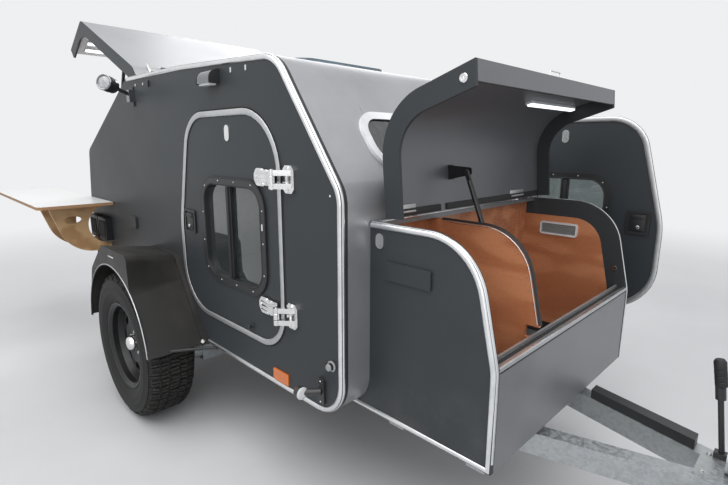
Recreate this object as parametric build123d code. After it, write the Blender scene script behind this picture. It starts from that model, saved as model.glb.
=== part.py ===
from build123d import *
import math
import os

# Teardrop trailer, millimetres. The stored frame has its origin at the centre of the
# coupling's ball socket, +X forward, +Y to the trailer's left, +Z up.
# Every piece is drawn in vehicle places: x ahead of the axle, y to the left and h above
# the ground. keep() moves it into the stored frame and writes it.

# Vehicle
ball_height = 430.0          # ball centre above the ground
coupling_reach = 2700.0      # axle to ball centre
seat_gap = 0.3               # between a fitting and what carries it

# Cabin shell
half_width = 672.0           # centreline to the wall's outer face
wall = 26.0                  # side wall and door, the whole sandwich
skin = 26.0                  # roof, front, rear and floor panels
body_bottom = 436.0
body_front = 1347.0
body_rear = -1172.0
slope_low = (body_front, 1205.0)
slope_high = (1025.0, 1650.0)
roof_crown = (320.0, 1683.0)
roof_end = (-330.0, 1690.0)
cabin_outline = [            # x, h, corner radius
    (body_front, body_bottom, 130.0),
    (*slope_low, 120.0),
    (*slope_high, 150.0),
    (*roof_crown, 2500.0),
    (*roof_end, 110.0),
    (-1108.0, 1308.0, 60.0),
    (body_rear, 1005.0, 300.0),
    (body_rear, body_bottom, 90.0),
]
front_joint = 900.0          # where the front panel ends and the roof begins
floor_front = 1210.0
floor_rear = -1075.0
trim_width = 20.0
trim_height = 3.0
trim_ends = (-318.0, 566.0)   # it stops at the roof's rear corner and above the rear bottom corner

# Doors
door_outline = [             # x, h, corner radius
    (228.0, 588.0, 215.0),
    (1033.0, 588.0, 150.0),
    (1033.0, 1475.0, 230.0),
    (352.0, 1475.0, 170.0),
    (228.0, 1000.0, 400.0),
]
door_gap = 5.6
door_lip_out = 8.1           # closing lip, beyond the door's edge and in from it
door_lip_in = 10.0
door_lip_height = 4.0
door_lip_clear = 0.8
window_outline = [
    (445.0, 768.0, 110.0),
    (939.0, 768.0, 110.0),
    (939.0, 1221.0, 110.0),
    (445.0, 1221.0, 110.0),
]
window_flange = 34.0
window_flange_height = 9.0
window_lining = 8.0
pane = 4.0
mullion_x = 669.0
mullion_width = 26.0
latch_place = (322.0, 1005.0)
latch_size = (100.0, 106.0)

# Door hinges
door_pin_x = 1050.0
door_pin_out = 48.0          # pin outside the wall's face
hinge_heights = (750.0, 1236.0)
pin_radius = 5.0
pin_clearance = 0.08
knuckle_radius = 11.0
hinge_height = 64.0
knuckle_height = 24.0
hinge_plate = 6.0
strap_length = 120.0

# Window in the sloping front and in the roof
front_window = [             # y, distance up the slope, corner radius
    (-300.0, 70.0, 90.0),
    (300.0, 70.0, 90.0),
    (400.0, 330.0, 110.0),
    (-400.0, 330.0, 110.0),
]
front_frame_width = 26.0
front_frame_height = 10.0
roof_window_front = 640.0
roof_window_size = (470.0, 520.0)
roof_frame_width = 36.0
roof_frame_height = 30.0
roof_dome_height = 14.0

# Nose box
box_half_width = 546.0
box_board = 15.0
box_front = 1826.0
box_top = 1108.0
sill_height = 745.0
sill_rise = 16.0
sill_depth = 46.0
box_outline = [              # x, h, corner radius
    (1200.0, body_bottom, 0.0),
    (box_front, body_bottom, 0.0),
    (box_front, sill_height, 200.0),
    (1742.0, box_top, 200.0),
    (1200.0, box_top, 0.0),
]
box_rear = 1262.0            # lower rear corner, under the cabin's rounded nose
divider_y = -232.0
liner = 4.0
liner_inset = 76.0
lid_pivot = (1390.0, 1113.0)
lid_open = 95.0
lid_skin = 12.0
lid_gap = 6.0
lid_flange_depth = 68.0
lid_flange = 10.0
lid_return = 50.0
lid_hinge_y = 400.0
lid_leaf = (90.0, 40.0, 3.0)         # width, reach, sheet
lid_pin_radius = 2.5
lid_knuckle_radius = 5.0

# Tailgate
gate_pivot = (-262.0, 1706.0)
gate_open = 50.5
gate_skin = 24.0
gate_gap = 6.0
gate_lip = 1010.0
gate_flange_depth = 70.0
gate_flange = 12.0
gate_liner = 4.0
gate_hinge_y = 520.0
gate_leaf = (90.0, 48.0, 5.0)
gate_pin_radius = 4.0
gate_knuckle_radius = 8.0

# Gas struts: the eye on the opened panel and the fixed seat
nose_strut_eye = (1480.0, 1262.0)
nose_strut_seat = (1710.0, 708.0)
nose_strut_y = -205.0
gate_strut_eye = (-521.0, 1790.0)
gate_strut_seat = (-706.0, 1404.0)
gate_strut_y = 606.0
tube_radius = 9.0
rod_radius = 4.0
eye_radius = 8.0
eye_half = 6.0
stud_radius = 4.0

# Inside the cabin
bulkhead_x = -245.0
board = 15.0
worktop_height = 960.0
worktop = 25.0
foot_wall_x = -735.0
shelf_height = 1290.0
shelf_depth = 200.0
shelf_half = 560.0
shelf_rise = 125.0
mattress = (-715.0, 1200.0, 100.0)   # rear, front, thickness

# Running gear
tyre_radius = 367.5
tyre_width = 235.0
wheel_y = 820.5
rim_radius = 203.0
rim_flange = 216.0
rim_windows = 8
rim_window = (110.0, 146.0, 32.0, 58.0)     # inner and outer radius, inner and outer width
spindle_radius = 20.0
spindle_clearance = 0.08
axle_beam_x = 150.0
axle_beam = 80.0
beam_half = 600.0
arm_width = 42.0

# Fenders
fender_y = 946.0
fender_low = 430.0           # lower edge, above the ground
fender_outer = [             # x, h, corner radius at the outer face
    (-405.0, fender_low, 0.0),
    (-285.0, 720.0, 60.0),
    (-92.0, 868.0, 40.0),
    (238.0, 868.0, 30.0),
    (241.0, 705.0, 100.0),
    (406.0, fender_low, 0.0),
]
fender_inner = [             # the same six corners at the wall
    (-395.0, fender_low, 0.0),
    (-285.0, 700.0, 60.0),
    (-110.0, 822.0, 60.0),
    (165.0, 812.0, 40.0),
    (221.0, 715.0, 100.0),
    (409.0, fender_low, 0.0),
]
fender_ridge = 28.0
fender_sheet = 3.0
arch_radius = 390.0
arch_height = 392.0

# Chassis and drawbar
rail_top = 406.0
rail_height = 80.0
rail_width = 60.0
rail_wall = 4.0
rail_rear = -1100.0
rail_y = 520.0
bend_x = 608.0
rail_tip_back = 370.0        # rails' tips behind the ball
tip_y = 45.0
crossbar_width = 60.0
cabin_bar_short = 32.0       # how far a crossbar stops short of the cabin wall's face
box_bar_short = 26.0         # and of the nose box's face
crossbars = [                # x, half length
    (-1000.0, half_width - cabin_bar_short),
    (-330.0, half_width - cabin_bar_short),
    (480.0, half_width - cabin_bar_short),
    (1160.0, half_width - cabin_bar_short),
    (1450.0, box_half_width - box_bar_short),
    (1760.0, box_half_width - box_bar_short),
]
duct_size = (50.0, 34.0)
duct_clear = 24.0            # its rear end, ahead of the nose box
duct_back = 500.0            # its front end, behind the ball

# Coupling
shaft_height = 450.0
shaft_radius = 27.0
socket_radius = 25.2
head_radius = 44.0
nose_plate = 6.0
lever_back = 60.0            # handbrake's foot behind the rails' tips
lever_y = 60.0

# Jockey wheel
jockey_back = 310.0          # its tube behind the ball
jockey_y = -120.0
jockey_tube_radius = 24.0
jockey_tube_span = (400.0, 740.0)
jockey_stem_radius = 20.0
jockey_stem_top = 580.0
jockey_radius = 100.0
jockey_wheel_width = 56.0
jockey_trail = 40.0
fork_half = 36.0
fork_sheet = 4.0
fork_top = 240.0

# Table on the right rear corner
table_top = 1000.0
table_board = 18.0
table_front = -730.0
table_rear = -2090.0
table_out = 1070.0
bracket_places = (-860.0, -1130.0)
bracket_board = 18.0
bracket_drop = 292.0         # from the table's underside to the bracket's foot
bracket_reach = (228.0, 325.0)       # out from the wall, at its foot and under the table
bracket_round = 190.0
bracket_arch = (132.0, 120.0)        # centre below the table's underside, radius
bracket_slot = (201.0, 87.0, 48.0, 22.0)     # out from the wall, below the underside, half axes

# Fittings on the walls: x, h, width, height, depth
porch_lamp = (600.0, 1608.0, 100.0, 52.0, 45.0)
hood_radius = 38.0
work_lamp_foot = (-242.0, 1590.0, 40.0, 60.0, 30.0)
# both ends of the work lamp's arm and of its can: x, out from the wall, h; then the radius
work_lamp_arm = ((-242.0, 15.0, 1595.0), (-200.0, 118.0, 1630.0), 10.0)
work_lamp_can = ((-212.0, 108.0, 1630.0), (-172.0, 158.0, 1640.0), 36.0)
side_reflector = (1002.0, 482.0, 95.0, 45.0, 6.0)
socket_box = (-1032.0, 823.0, 148.0, 142.0, 40.0)
socket_pitch = 164.0
wall_flap = (-400.0, 915.0, 90.0, 65.0, 12.0)
box_flap = (1512.0, 960.0, 176.0, 60.0, 8.0)
rear_lamp = (510.0, 600.0, 180.0, 80.0, 22.0)
marker_base = (1243.0, 518.0, 36.0, 100.0, 10.0)
marker_lamp = (1201.0, 520.0, 65.0, 20.0, 22.0)      # x, h, distance out, radius, length
wall_plug = (1296.0, 628.0, 17.0, 16.0)              # x, h, radius, height

rail_tip = coupling_reach - rail_tip_back
jockey_x = coupling_reach - jockey_back
beyond = 150.0               # how far a cutting outline reaches past the shell
inner_y = half_width - wall
box_inner_y = box_half_width - box_board
lid_half = box_inner_y - lid_gap
lid_lip = sill_height + sill_rise + lid_gap
gate_half = inner_y - gate_gap
sides = (("right", -1), ("left", 1))


# Drawing

def pieces(shape):
    if isinstance(shape, (list, tuple)):
        return [solid for one in shape for solid in pieces(one)]
    return list(shape.solids())


def keep(name, *shapes):
    place = Location((-coupling_reach, 0, -ball_height))
    solids = [place * solid for solid in pieces(shapes)]
    whole = solids[0] if len(solids) == 1 else Compound(children=solids)
    export_step(whole, f"parts/{name}.step")
    print(name, len(solids))


def rounded_corner(before, at, after, radius):
    # start, middle and end of the arc that rounds a corner
    before, at, after = Vector(*before), Vector(*at), Vector(*after)
    a, b = (before - at).normalized(), (after - at).normalized()
    half_angle = math.radians(a.get_angle(b)) / 2
    reach = radius / math.tan(half_angle)
    middle = at + (a + b).normalized() * (radius / math.sin(half_angle) - radius)
    return at + a * reach, middle, at + b * reach


def outline_face(points, lift):
    # points are (u, v, corner radius); lift turns (u, v) into a place
    edges, ends = [], []
    for i, (u, v, radius) in enumerate(points):
        at = lift(u, v)
        if radius <= 0:
            ends.append((Vector(*at), Vector(*at)))
            continue
        before = lift(*points[i - 1][:2])
        after = lift(*points[(i + 1) % len(points)][:2])
        start, middle, end = rounded_corner(before, at, after, radius)
        edges.append(ThreePointArc(start, middle, end))
        ends.append((start, end))
    for i, (_, end) in enumerate(ends):
        start = ends[(i + 1) % len(ends)][0]
        if (start - end).length > 1e-6:
            edges.append(Line(end, start))
    return make_face(Wire(edges))


def slab(points, y0, y1):
    # side outline of (x, h, radius), between two y
    face = outline_face(points, lambda u, v: (u, min(y0, y1), v))
    return extrude(face, amount=abs(y1 - y0), dir=(0, 1, 0))


def deck(points, h0, h1):
    # plan outline of (x, y, radius), between two heights
    face = outline_face(points, lambda u, v: (u, v, h0))
    return extrude(face, amount=h1 - h0, dir=(0, 0, 1))


def cross_board(points, x0, x1):
    # front outline of (y, h, radius), between two x
    face = outline_face(points, lambda u, v: (x0, u, v))
    return extrude(face, amount=x1 - x0, dir=(1, 0, 0))


def inset(points, depth):
    # every edge moved in by depth, or out where it is negative
    count = len(points)
    area = sum(points[i - 1][0] * points[i][1] - points[i][0] * points[i - 1][1] for i in range(count))
    turn = 1.0 if area > 0 else -1.0
    lines = []
    for i in range(count):
        (x0, y0, _), (x1, y1, _) = points[i], points[(i + 1) % count]
        length = math.hypot(x1 - x0, y1 - y0)
        shift = (-turn * (y1 - y0) / length * depth, turn * (x1 - x0) / length * depth)
        lines.append((x0 + shift[0], y0 + shift[1], x1 - x0, y1 - y0))
    moved = []
    for i in range(count):
        ax, ay, adx, ady = lines[i - 1]
        bx, by, bdx, bdy = lines[i]
        cross = adx * bdy - ady * bdx
        t = ((bx - ax) * bdy - (by - ay) * bdx) / cross
        radius = points[i][2]
        if radius > 0:
            radius = max(radius - depth if turn * cross > 0 else radius + depth, 0.0)
        moved.append((ax + adx * t, ay + ady * t, radius))
    return moved


def band(points, outer, inner, y0, y1):
    # what lies between two insets of a side outline
    return slab(inset(points, outer), y0, y1) - slab(inset(points, inner), min(y0, y1) - 1, max(y0, y1) + 1)


def block(x0, x1, y0, y1, h0, h1):
    size = (abs(x1 - x0), abs(y1 - y0), abs(h1 - h0))
    return Pos((x0 + x1) / 2, (y0 + y1) / 2, (h0 + h1) / 2) * Box(*size)


def bar(a, b, radius):
    way = Vector(*b) - Vector(*a)
    plane = Plane(origin=Vector(*a), z_dir=way)
    return extrude(plane * Circle(radius), amount=way.length)


def cross_pin(at, y0, y1, radius):
    # round bar along y at a side place (x, h)
    return bar((at[0], min(y0, y1), at[1]), (at[0], max(y0, y1), at[1]), radius)


def tilt(shape, pivot, degrees):
    # positive about +Y lowers what lies ahead of the pivot
    axis = Axis((pivot[0], 0, pivot[1]), (0, 1, 0))
    return [solid.rotate(axis, degrees) for solid in pieces(shape)]


def turned_place(place, pivot, degrees):
    a = math.radians(degrees)
    dx, dh = place[0] - pivot[0], place[1] - pivot[1]
    return pivot[0] + dx * math.cos(a) + dh * math.sin(a), pivot[1] - dx * math.sin(a) + dh * math.cos(a)


def both_sides(shape):
    return [[solid, mirror(solid, about=Plane.XZ)] for solid in pieces(shape)]


def fitting(table, y, side, radius=4.0):
    # a rounded block on a side wall's face, from its table line
    x, h, width, height, depth = table
    points = [(x - width / 2, h - height / 2, radius), (x + width / 2, h - height / 2, radius),
              (x + width / 2, h + height / 2, radius), (x - width / 2, h + height / 2, radius)]
    return slab(points, side * y, side * (y + depth))


def roof_at(x):
    # height of the roof's outer face behind its crown
    share = (roof_crown[0] - x) / (roof_crown[0] - roof_end[0])
    return roof_crown[1] + share * (roof_end[1] - roof_crown[1])


# Cabin shell

def side_wall(side):
    doorway = slab(inset(door_outline, -door_gap), side * (inner_y - 1), side * (half_width + 1))
    return slab(cabin_outline, side * inner_y, side * half_width) - doorway


def shell_part(region):
    # the skin between the walls, where region covers it
    return band(cabin_outline, 0, skin, -inner_y, inner_y) & slab(region, -inner_y, inner_y)


def slope_prism(points, out0, out1):
    # prism square to the sloping front, from out0 to out1 beyond its outer face
    length = math.hypot(slope_high[0] - slope_low[0], slope_high[1] - slope_low[1])
    up = ((slope_high[0] - slope_low[0]) / length, (slope_high[1] - slope_low[1]) / length)
    out = (up[1], -up[0])

    def lift(u, v):
        return (slope_low[0] + up[0] * v + out[0] * out0, u, slope_low[1] + up[1] * v + out[1] * out0)

    return extrude(outline_face(points, lift), amount=out1 - out0, dir=(out[0], 0, out[1]))


def roof_prism(grow, h0, h1):
    length, width = roof_window_size
    front, rear = roof_window_front, roof_window_front - length
    points = [(rear, -width / 2, 60.0), (front, -width / 2, 60.0), (front, width / 2, 60.0),
              (rear, width / 2, 60.0)]
    return deck(inset(points, -grow), h0, h1)


def front_panel():
    low, high, ahead = body_bottom - beyond, roof_end[1] + beyond, body_front + beyond
    region = [(floor_front, low, 0), (ahead, low, 0), (ahead, high, 0), (front_joint, high, 0),
              (front_joint, slope_high[1] - beyond, 0), (floor_front, slope_low[1] - beyond, 0)]
    return shell_part(region) - slope_prism(front_window, -skin - 10, 10)


def roof_panel():
    rear, low, high = gate_pivot[0] + gate_gap, slope_high[1] - beyond, roof_end[1] + beyond
    region = [(rear, low, 0), (front_joint, low, 0), (front_joint, high, 0), (rear, high, 0)]
    return shell_part(region) - roof_prism(0, low, high)


def rear_panel():
    top, low, behind = gate_lip - gate_gap, body_bottom - beyond, body_rear - beyond
    return shell_part([(floor_rear, low, 0), (behind, low, 0), (behind, top, 0), (floor_rear, top, 0)])


def edge_trims():
    cabin = band(cabin_outline, 0, trim_width, half_width, half_width + trim_height)
    cabin -= slab(inset(fender_inner, -9), half_width - 1, half_width + trim_height + 1)
    cabin -= block(body_rear - 1, trim_ends[0], 0, half_width + beyond, trim_ends[1], roof_end[1] + beyond)
    box = band(box_outline, 0, trim_width, box_half_width, box_half_width + trim_height)
    box -= slab(cabin_outline, 0, half_width)
    box -= block(0, box_rear, 0, half_width, 0, 2 * box_top)
    box -= block(0, body_front + 1, 0, half_width, body_bottom + trim_width + 1, box_top - trim_width - 1)
    return both_sides([cabin, box])


def window_frames():
    front = slope_prism(inset(front_window, -front_frame_width), 0, front_frame_height)
    front -= slope_prism(inset(front_window, 8), -1, front_frame_height + 1)
    roof = roof_prism(roof_frame_width, roof_crown[1] - beyond, roof_crown[1] + roof_frame_height)
    roof -= roof_prism(-8, roof_crown[1] - 2 * beyond, roof_crown[1] + beyond)
    roof -= slab(cabin_outline, -half_width, half_width)
    return [front, roof]


def window_panes():
    dome_base = roof_crown[1] + roof_frame_height
    front = slope_prism(inset(front_window, 0.3), -skin / 2 - pane, -skin / 2)
    return [front, roof_prism(roof_frame_width - 10, dome_base, dome_base + roof_dome_height)]


def bulkheads():
    room = slab(inset(cabin_outline, skin), -inner_y, inner_y)
    upper = block(bulkhead_x, bulkhead_x + board, -inner_y, inner_y, worktop_height - worktop,
                  roof_crown[1]) & room
    lower = block(foot_wall_x, foot_wall_x + board, -inner_y, inner_y, body_bottom + skin,
                  worktop_height - worktop)
    return [upper, lower]


def galley_boards():
    top = block(body_rear + skin + 1, bulkhead_x, -inner_y, inner_y, worktop_height - worktop, worktop_height)
    rear = bulkhead_x - shelf_depth
    shelf = block(rear, bulkhead_x, -shelf_half, shelf_half, shelf_height, shelf_height + board)
    shelf += block(rear, rear + board, -shelf_half, shelf_half, shelf_height, shelf_height + 3 * board)
    for y in (-shelf_half + board / 2, 0, shelf_half - board / 2):
        shelf += block(rear, bulkhead_x, y - board / 2, y + board / 2, shelf_height,
                       shelf_height + shelf_rise)
    return [top, shelf]


def bed():
    rear, front, thickness = mattress
    low = body_bottom + skin + seat_gap
    return block(rear, front, 8 - inner_y, inner_y - 8, low, low + thickness)


# Doors, drawn closed

def door_panel(side):
    inner, outer = side * inner_y, side * half_width
    lip_low, lip_high = outer + side * door_lip_clear, outer + side * (door_lip_clear + door_lip_height)
    hole = inset(window_outline, window_flange - window_lining)
    panel = slab(door_outline, inner, outer)
    panel += band(door_outline, 1.0, door_lip_in, outer, lip_low)
    panel += band(door_outline, -door_lip_out, door_lip_in, lip_low, lip_high)
    return panel - slab(hole, inner - side, outer + side)


def mullion(side):
    low, high = window_outline[0][1] + window_flange, window_outline[2][1] - window_flange
    return block(mullion_x - mullion_width / 2, mullion_x + mullion_width / 2,
                 side * (inner_y + 4), side * (half_width + 4), low, high)


def door_window(side):
    inner, outer = side * inner_y, side * half_width
    frame = band(window_outline, 0, window_flange, outer, outer + side * window_flange_height)
    frame += band(window_outline, window_flange - window_lining, window_flange, inner, outer)
    frame += band(window_outline, 6, window_flange, inner - side * 5, inner)
    return frame + mullion(side)


def door_glass(side):
    middle = side * (half_width - wall / 2)
    return slab(inset(window_outline, window_flange), middle - pane / 2, middle + pane / 2) - mullion(side)


def door_latch(side):
    x, h = latch_place
    width, height = latch_size
    dish = fitting((x, h, width, height, 7.0), half_width, side, 10.0)
    dish -= fitting((x, h, width - 24, height - 24, 20.0), half_width + 3, side, 8.0)
    return dish + block(x - 30, x + 34, side * (half_width + 3), side * (half_width + 8), h - 34, h + 20)


def door_leaf(side, h):
    # strap on the door, with the middle knuckle
    outer, pin_y = side * half_width, side * (half_width + door_pin_out)
    low, high = h - knuckle_height / 2, h + knuckle_height / 2
    strap_low = outer + side * (door_lip_clear + door_lip_height + 1)
    strap_high = strap_low + side * hinge_plate
    strap_end = door_pin_x - 40 - strap_length
    plan = [(door_pin_x - 3, pin_y - side * 9.5, 0), (door_pin_x - 8, pin_y + side * 7, 0),
            (door_pin_x - 42, strap_high, 0), (strap_end, strap_high, 0),
            (strap_end, strap_low, 0), (door_pin_x - 38, strap_low, 0)]
    leaf = bar((door_pin_x, pin_y, low), (door_pin_x, pin_y, high), knuckle_radius)
    leaf += deck(plan, low, high)
    leaf += block(strap_end, door_pin_x - 44, strap_low, strap_high, h - hinge_height / 2,
                  h + hinge_height / 2)
    leaf += block(strap_end, strap_end + 60, outer, strap_low, h - hinge_height / 2, h + hinge_height / 2)
    return leaf - bar((door_pin_x, pin_y, low - 9), (door_pin_x, pin_y, high + 9), pin_radius + pin_clearance)


def door_bracket(side, h):
    # plate on the wall, with the outer knuckles and the pin
    outer, pin_y = side * half_width, side * (half_width + door_pin_out)
    half, inner_half = hinge_height / 2, knuckle_height / 2 + 1
    bracket = block(door_pin_x + 8, door_pin_x + 70, outer, outer + side * hinge_plate, h - half, h + half)
    arm = [(door_pin_x - 4, pin_y + side * 9, 0), (door_pin_x + 10, pin_y + side * 2, 0),
           (door_pin_x + 62, outer + side * hinge_plate, 0),
           (door_pin_x + 62, outer, 0), (door_pin_x + 10, outer, 0),
           (door_pin_x + 8, pin_y - side * 12, 0), (door_pin_x - 4, pin_y - side * 9, 0)]
    for low, high in ((h - half, h - inner_half), (h + inner_half, h + half)):
        bracket += bar((door_pin_x, pin_y, low), (door_pin_x, pin_y, high), knuckle_radius)
        bracket += deck(arm, low, high)
    return bracket + bar((door_pin_x, pin_y, h - half - 3), (door_pin_x, pin_y, h + half + 3), pin_radius)


def door_nodes(side):
    return {
        "panel": door_panel(side),
        "window": door_window(side),
        "glass": door_glass(side),
        "hardware": [door_latch(side), [door_leaf(side, h) for h in hinge_heights]],
    }


# Nose box

def clear_of_cabin(shape):
    return shape - slab(cabin_outline, -half_width, half_width)


def box_side():
    side = slab(box_outline, box_inner_y, box_half_width) - block(0, box_rear, 0, half_width, 0, 2 * box_top)
    return clear_of_cabin(side)


def box_boards():
    front = block(box_front - box_board, box_front, -box_inner_y, box_inner_y, body_bottom, sill_height)
    front += clear_of_cabin(block(box_rear, box_front - box_board, -box_inner_y, box_inner_y, body_bottom,
                                  body_bottom + box_board))
    shelf = block(body_front, lid_pivot[0] - 6, -box_inner_y, box_inner_y, box_top - box_board, box_top)
    return [front, shelf]


def box_sill():
    rear = box_front - sill_depth
    sill = block(rear, box_front, -box_inner_y, box_inner_y, sill_height, sill_height + 6)
    sill += block(rear, rear + 8, -box_inner_y, box_inner_y, sill_height, sill_height + sill_rise)
    sill += block(box_front - 14, box_front, -box_inner_y, box_inner_y, sill_height,
                  sill_height + sill_rise - 4)
    return sill


def box_linings():
    low, high, ahead = body_bottom + box_board, box_top + beyond, box_front - box_board
    room = [(body_front, low, 0), (ahead, low, 0), (ahead, high, 0), (body_front, high, 0)]
    divider = slab(inset(box_outline, lid_skin + 7), divider_y - box_board / 2, divider_y + box_board / 2)
    divider &= slab(room, -box_inner_y, box_inner_y)
    divider -= block(body_front - 1, lid_pivot[0] + 14, -box_inner_y, box_inner_y,
                     box_top - box_board - 1, high)
    divider -= block(box_front - lid_return - 26, box_front, -box_inner_y, box_inner_y, sill_height - 1,
                     lid_lip + lid_flange + 8)
    side = slab(inset(box_outline, liner_inset), box_inner_y - liner, box_inner_y)
    side &= slab(inset(room, 0.5), 0, box_inner_y)
    side -= block(0, body_front + liner + 0.5, 0, box_inner_y, 0, high)
    back_low, back_high = low + 0.5, box_top - box_board - 1
    edges = ((0.5 - box_inner_y, divider_y - box_board / 2 - 0.5),
             (divider_y + box_board / 2 + 0.5, box_inner_y - 0.5))
    backs = [block(body_front, body_front + liner, y0, y1, back_low, back_high) for y0, y1 in edges]
    return [divider, both_sides(side), backs]


# Nose lid, drawn closed and then opened

def lid_shell():
    shell = band(box_outline, 0, lid_skin, -lid_half, lid_half)
    for side in (-1, 1):
        shell += band(box_outline, 0, lid_flange_depth, side * (lid_half - lid_flange), side * lid_half)
    inner = box_front - lid_return - lid_skin
    lip = block(inner, box_front, -lid_half, lid_half, lid_lip, lid_lip + lid_flange)
    shell += lip & slab(box_outline, -lid_half, lid_half)
    rear, ahead, high = lid_pivot[0] + lid_gap, box_front + beyond, box_top + beyond
    region = [(rear, lid_lip, 0), (ahead, lid_lip, 0), (ahead, high, 0), (rear, high, 0)]
    return tilt(shell & slab(region, -lid_half, lid_half), lid_pivot, -lid_open)


def flat_hinge(pivot, y, leaf, pin, knuckle, top, way):
    # leaf on the panel that turns and leaf that stays; way is +1 where the panel lies ahead
    width, reach, sheet = leaf
    room = knuckle + 3
    knuckle_half = width / 6
    moving = block(pivot[0] + way * room, pivot[0] + way * (room + reach), y - width / 2, y + width / 2,
                   top, top + sheet)
    moving += block(pivot[0], pivot[0] + way * room, y - knuckle_half, y + knuckle_half, top + sheet / 2,
                    pivot[1])
    moving += cross_pin(pivot, y - knuckle_half, y + knuckle_half, knuckle)
    moving -= cross_pin(pivot, y - width, y + width, pin + pin_clearance)
    fixed = block(pivot[0] - way * room, pivot[0] - way * (room + reach * 0.7), y - width / 2,
                  y + width / 2, top, top + sheet)
    for low, high in ((y - width / 2, y - knuckle_half - 1), (y + knuckle_half + 1, y + width / 2)):
        fixed += block(pivot[0] - way * room, pivot[0], low, high, top + sheet / 2, pivot[1])
        fixed += cross_pin(pivot, low, high, knuckle)
    fixed += cross_pin(pivot, y - width / 2, y + width / 2, pin)
    return moving, fixed


def lid_hinge(y):
    return flat_hinge(lid_pivot, y, lid_leaf, lid_pin_radius, lid_knuckle_radius, box_top + seat_gap, 1)


def gate_hinge(y):
    top = roof_at(roof_end[0]) + 0.1
    return flat_hinge(gate_pivot, y, gate_leaf, gate_pin_radius, gate_knuckle_radius, top, -1)


def strut_bracket():
    # stands on the lid's inner face and holds the strut's upper stud
    x, h = turned_place(nose_strut_eye, lid_pivot, lid_open)
    y = nose_strut_y + eye_half + seat_gap
    top = box_top - lid_skin
    bracket = cross_pin((x, h), y, y + 8, stud_radius)
    bracket += slab([(x - 12, h - 12, 8), (x + 12, h - 12, 8), (x + 26, top, 0), (x - 26, top, 0)], y + 6,
                    y + 10)
    bracket += block(x - 26, x + 26, y + 6, y + 36, top - 4, top)
    return tilt(bracket, lid_pivot, -lid_open)


# Tailgate, drawn closed and then opened

def gate_piece(shape):
    ahead, behind, high = gate_pivot[0] - gate_gap, body_rear - beyond, roof_end[1] + beyond
    region = [(behind, gate_lip, 0), (ahead, gate_lip, 0), (ahead, high, 0), (behind, high, 0)]
    return tilt(shape & slab(region, -gate_half, gate_half), gate_pivot, gate_open)


def gate_flanges():
    low, high = gate_half - gate_flange, gate_half
    return both_sides(band(cabin_outline, gate_skin, gate_flange_depth, low, high))


def gate_nodes():
    inner = gate_half - gate_flange - 0.5
    leaves = [gate_hinge(y)[0] for y in (-gate_hinge_y, gate_hinge_y)]
    studs = both_sides(cross_pin(gate_strut_eye, gate_strut_y + eye_half + seat_gap,
                                 gate_half - gate_flange, stud_radius))
    return {
        "tailgate_skin": gate_piece(band(cabin_outline, 0, gate_skin, -gate_half, gate_half)),
        "tailgate_flanges": [gate_piece(solid) for solid in pieces(gate_flanges())],
        "tailgate_liner": gate_piece(band(cabin_outline, gate_skin, gate_skin + gate_liner, -inner, inner)),
        "tailgate_hinges": [tilt(leaves, gate_pivot, gate_open), studs],
    }


# Gas struts

def strut(eye, seat, shut_eye, y):
    # the tube hangs from the panel's eye and the rod slides out of it towards the seat
    open_length = math.hypot(seat[0] - eye[0], seat[1] - eye[1])
    shut_length = math.hypot(seat[0] - shut_eye[0], seat[1] - shut_eye[1])
    way = ((seat[0] - eye[0]) / open_length, (seat[1] - eye[1]) / open_length)

    def at(distance):
        return eye[0] + way[0] * distance, y, eye[1] + way[1] * distance

    tube_end = shut_length - 26.0
    bore_start = 20.0
    tube = bar(at(0), at(tube_end), tube_radius)
    tube -= bar(at(bore_start), at(tube_end + 1), rod_radius + pin_clearance)
    tube -= block(eye[0] - 30, eye[0] + 30, y - 30, y - eye_half, eye[1] - 30, eye[1] + 30)
    tube -= block(eye[0] - 30, eye[0] + 30, y + eye_half, y + 30, eye[1] - 30, eye[1] + 30)
    tube += cross_pin(eye, y - eye_half, y + eye_half, eye_radius)
    rod = bar(at(open_length - shut_length + bore_start + 4), at(open_length), rod_radius)
    rod += cross_pin(seat, y - eye_half, y + eye_half, eye_radius)
    return tube, rod


def strut_nodes():
    nose = strut(nose_strut_eye, nose_strut_seat, turned_place(nose_strut_eye, lid_pivot, lid_open),
                 nose_strut_y)
    gate = strut(gate_strut_eye, gate_strut_seat, turned_place(gate_strut_eye, gate_pivot, -gate_open),
                 gate_strut_y)
    nose_stud = cross_pin(nose_strut_seat, divider_y + box_board / 2, nose_strut_y - eye_half - seat_gap,
                          stud_radius)
    gate_stud = cross_pin(gate_strut_seat, gate_strut_y + eye_half + seat_gap, inner_y, stud_radius)
    return {
        "nose_strut_tube": nose[0],
        "nose_strut_rod": nose[1],
        "tailgate_strut_tube_right": mirror(gate[0], about=Plane.XZ),
        "tailgate_strut_rod_right": mirror(gate[1], about=Plane.XZ),
        "tailgate_strut_tube_left": gate[0],
        "tailgate_strut_rod_left": gate[1],
        "strut_seats": [nose_stud, both_sides(gate_stud)],
    }


# Wheels and axle

def turned(points, side):
    # section of (radius, distance outboard of the wheel's middle), turned about the axle
    y0 = side * wheel_y
    places = [Vector(0, y0 + side * out, tyre_radius + radius) for radius, out in points]
    return revolve(make_face(Polyline(*places, close=True)), Axis((0, 0, tyre_radius), (0, 1, 0)), 360)


def tyre(side):
    half = tyre_width / 2
    outer_half = [(rim_radius + 1, 60), (rim_radius + 1, 90), (rim_flange + 0.5, 91), (rim_flange + 6, 98),
                  (262, half - 4), (300, half), (338, half - 8), (358, half - 22), (tyre_radius, half - 44)]
    inner_half = [(radius, -out) for radius, out in reversed(outer_half)]
    return turned(outer_half + inner_half + [(rim_radius - 3, -40), (rim_radius - 3, 40)], side)


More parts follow.
